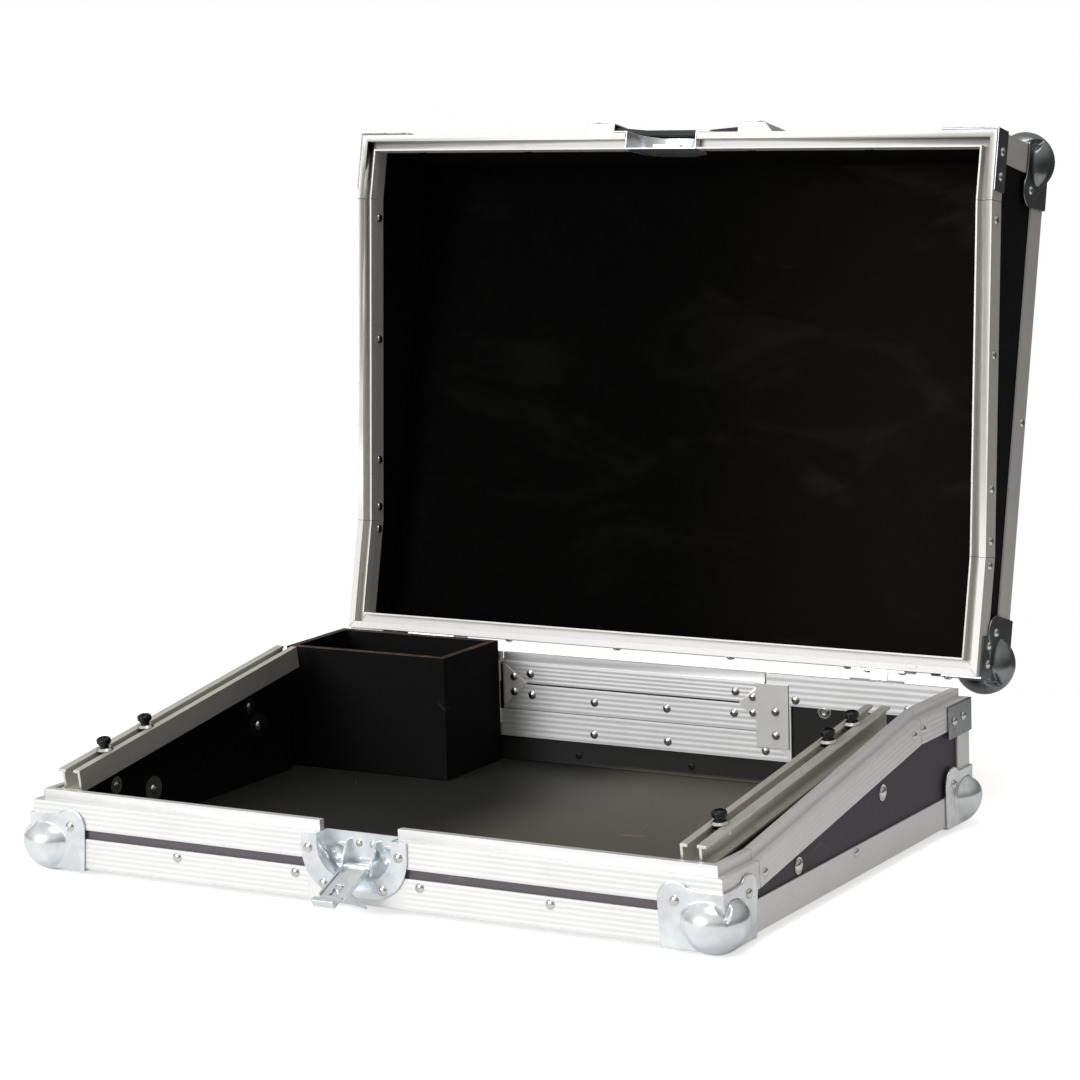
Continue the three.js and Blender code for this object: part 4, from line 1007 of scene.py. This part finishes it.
# -------------------------------- Lid boards and lining
# The lid has five boards like those of the base, and a thin sheet of black foam glued inside its
# top. It has been rubbed smooth and a little shiny where a controller has touched it; that sheen
# is also painted into its colour, lighter towards the right: painted sheen.
HINGE = Vector((0, 379, 82.1))
LID = (CASE @ Matrix.Translation(HINGE) @ Matrix.Rotation(math.radians(-102.8), 4, "X")
       @ Matrix.Translation(-HINGE))
# The lid's side boards get the laminate darkened nearly to black: painted shade on those sides.
painted_shade_laminate = hard_laminate("laminate_darkened_as_painted_shade", "0e0d10", "151418", "3a373d", 0.08)
for word, way in (("top", UP), ("front", FRONT), ("rear", BACK)):
    board(f"lid_{word}_panel", turned_way(LID, way))
board("lid_left_panel", (-1, 0, 0), outside=painted_shade_laminate)
board("lid_right_panel", (1, 0, 0), outside=painted_shade_laminate)

foam = finish("black_foam", Metallic=0.0, Specular_IOR_Level=0.03)
cells = noise(foam, 1400, 2, 0.7)
pile = noise(foam, 130, 4, 0.7)
rubbed_and_painted_sheen = noise(foam, 7, 3, 0.6, (1, 1, 2.4), 1.2).between(0.52, 0.75)
colour = mixed(foam, pile, "010101", "080807")
# Painted sheen: the foam's colour goes lighter towards the right and in the rubbed patches.
painted_sheen_right = foam.node("ShaderNodeSeparateXYZ", {0: foam.place}).between(-0.05, 0.2)
colour = mixed(foam, painted_sheen_right * (0.3 + 0.3 * rubbed_and_painted_sheen) + 0.04 * rubbed_and_painted_sheen, colour, "24211d")
coat(foam, colour, 0.95 - 0.3 * rubbed_and_painted_sheen, cells + pile * 1.5, 0.0004, 0.8)
lining = dressed("lid_lining", "foam", 0.0012, [foam], segments=3)

# -------------------------------- Aluminium edges of the lid
# The same ribbed angles round the top and up the corners. The rim has a groove that drops over the
# tongue of the base, and its inner lip closes inside the base.
for node in ("lid_rim_frame", "lid_edge_frame"):
    dressed(node, "extrusion", extrusion_edge, [lid_shade_and_plate_aluminium])
lip_low, lip_high, shut_gap = 8.9, 20.0, 0.4
faces = []
for side in (-1, 1):
    faces += side_faces(side, 0, shut_gap, rim_leg, rim_ribs)
    faces += side_faces(side, rim_inner, lip_low, lip_high, lip_ribs)
    faces.append(wall_strip(dish_middle + side * dish_edge, side * half, 0, front_ledge + shut_gap,
                            front_ledge + rim_leg, FRONT, rim_ribs))
    faces.append(wall_strip(dish_middle + side * dish_opening_half, side * (half - rim_inner),
                            rim_inner, front_ledge + lip_low, front_ledge + lip_high, BACK,
                            lip_ribs))
faces.append(wall_strip(-half, half, depth, rear_ledge + shut_gap, rear_ledge + rim_leg, BACK,
                        rim_ribs))
faces.append(wall_strip(rim_inner - half, half - rim_inner, depth - rim_inner, rear_ledge + lip_low,
                        rear_ledge + lip_high, FRONT, lip_ribs))
ribbed_faces("lid_rim_ribs", "lid", LID, faces, lid_shade_and_plate_aluminium)

cuts = [saw_cut("lid_rim_frame", LID, *where, (cut_out, groove_cut_out)) for where in bends]
mitre_reach = 45
cuts += [saw_cut("lid_rim_frame", LID, (side * half, depth, rear_ledge), (side, -1, 0),
                 (groove_cut_out, groove_cut_out), mitre_reach) for side in (-1, 1)]
assembled("lid_rim_cuts", cuts, saw_dirt_and_gap_shade, "lid", "extrusion")

faces = edge_faces(closed_height, -1)
low = closed_height - leg
for side in (-1, 1):
    for y, ledge, outward in ((0, front_ledge, -1), (depth, rear_ledge, 1)):
        faces += post_faces(side, y, outward, ledge + rim_leg + post_gap, low)
for y, way in ((0, FRONT), (depth, BACK)):
    faces.append(wall_strip(-span, span, y, low, closed_height, way, leg_ribs))
ribbed_faces("lid_edge_ribs", "lid", LID, faces, lid_shade_and_plate_aluminium)

for end in ("front", "rear"):
    for side, word in SIDES:
        ball_corner("lid", LID, end, side, word, closed_height, -1, painted_shade_zinc)
dressed_pair("lid_brace_", "zinc_steel", 0.0004, painted_shade_zinc)
braces = []
brace_reach, brace_skin, brace_gap, brace_low, brace_high = 28.0, 1.3, 0.15, 87.0, 107.0
for side in (-1, 1):
    gap, skin, far = (side * (half + out) for out in (brace_gap, brace_skin, -brace_reach))
    plan = [(gap, depth - brace_reach), (skin, depth - brace_reach), (skin, depth + brace_skin),
            (far, depth + brace_skin), (far, depth + brace_gap), (gap, depth + brace_gap)]
    braces.append(prism([[LID @ Vector((*spot, z)) for spot in plan]
                         for z in (brace_low, brace_high)]))
assembled("lid_rear_braces", braces, painted_shade_zinc, "lid", "zinc_steel")


def ledge_at(y):
    """The height of the side rim's ledge."""
    share = (y - front_level) / (depth - front_level - rear_level)
    return front_ledge + max(0, min(1, share)) * (rear_ledge - front_ledge)


rim_rivet_up, lip_rivet_up, rear_brace_mid, front_brace_mid = 9, 15, 97.6, 52.3
rim_rivets, front_brace_rivets = (60.0, 150.0, 240.0, 275.3, 292.0), (14.0, 31.0)
places = corner_rivets(True)
places += on_sides(-brace_skin, [(y, rear_brace_mid) for y in (346.4, 359.0)])
places += on_sides(0, [(y, ledge_at(y) + rim_rivet_up) for y in rim_rivets])
places += on_sides(rim_inner, [(y, ledge_at(y) + lip_rivet_up) for y in rim_rivets], -1)
places += on_sides(-sheet, [(y, front_brace_mid) for y in front_brace_rivets])
places += facing(FRONT, mirrored([half - x for x in front_brace_rivets], -sheet,
                                 front_brace_mid))
places += on_sides(0, ((190, 128),))
for x in (-210, -119, 64, 155):
    places.append(((x, rim_inner, front_ledge + lip_rivet_up), BACK))
    places.append(((x, depth - rim_inner, rear_ledge + lip_rivet_up), FRONT))
for x in wall_rivets:
    places += [((x, 0, 125), FRONT), ((x, depth, 125), BACK)]
rivets("lid_rivets", "lid", LID, places)

# -------------------------------- Lid's half of the latch
# A pressed dish like the one below it, with a bent strip across it that the hook pulls on. Four
# rivets hold its flange to the rim and to the front board.
dressed("lid_latch_dish", "zinc_steel", 0.0005, [zinc])
rivets("lid_latch_rivets", "lid", LID, facing(FRONT, [(dish_middle + x, -sheet, z) for x, z in (
    (-33, 57.5), (33, 57.5), (-23.5, 79.7), (22, 79.7))]))

# -------------------------------- Hinges
# Two butt hinges behind the back wall. Each leaf is zinc plated steel, riveted through the rim, and
# its middle knuckle turns on a steel pin.
for _, word in SIDES:
    for leaf in ("base", "lid"):
        dressed(f"lid_hinge_{leaf}_leaf_{word}", "zinc_steel", 0.0003, [zinc])
hinge_middle, leaf_rivet, leaf_out = 182, 13, 1.8
for body, matrix, z in (("base", CASE, 68), ("lid", LID, 95)):
    spots = mirrored((hinge_middle - leaf_rivet, hinge_middle + leaf_rivet), depth + leaf_out, z)
    rivets(body + "_hinge_rivets", body, matrix, facing(BACK, spots), head=(2.8, 1.1),
           washer=(3, 0.2))

# -------------------------------- Carrying handle
# A ribbed rubber strap runs under two pressed end caps on the lid's front wall. It slides a little
# in them, so that it can bow out to a hand.
rubber = finish("dark_rubber", Metallic=0.0, Specular_IOR_Level=0.4)
pores = noise(rubber, 800, 3, 0.7)
bloom = noise(rubber, 30, 3)
coat(rubber, mixed(rubber, bloom, "262628", "38383a"), 0.55 + 0.25 * pores, pores, 0.0002, 0.6)
dressed("handle_strap", "strap", 0.0012, [rubber], segments=3)
dressed_pair("handle_cap_", "zinc_steel", 0.0012, zinc, segments=3)
handle_x, cap_rivet, cap_out, handle_up, cap_rivet_up = -3, 66, 11.5, 84, 11.5
rivets("handle_rivets", "lid", LID, facing(FRONT, [
    (handle_x + side * cap_rivet, -cap_out, handle_up + up)
    for side in (-1, 1) for up in (-cap_rivet_up, cap_rivet_up)]), head=(3.4, 1.2),
    washer=(3.6, 0.2))
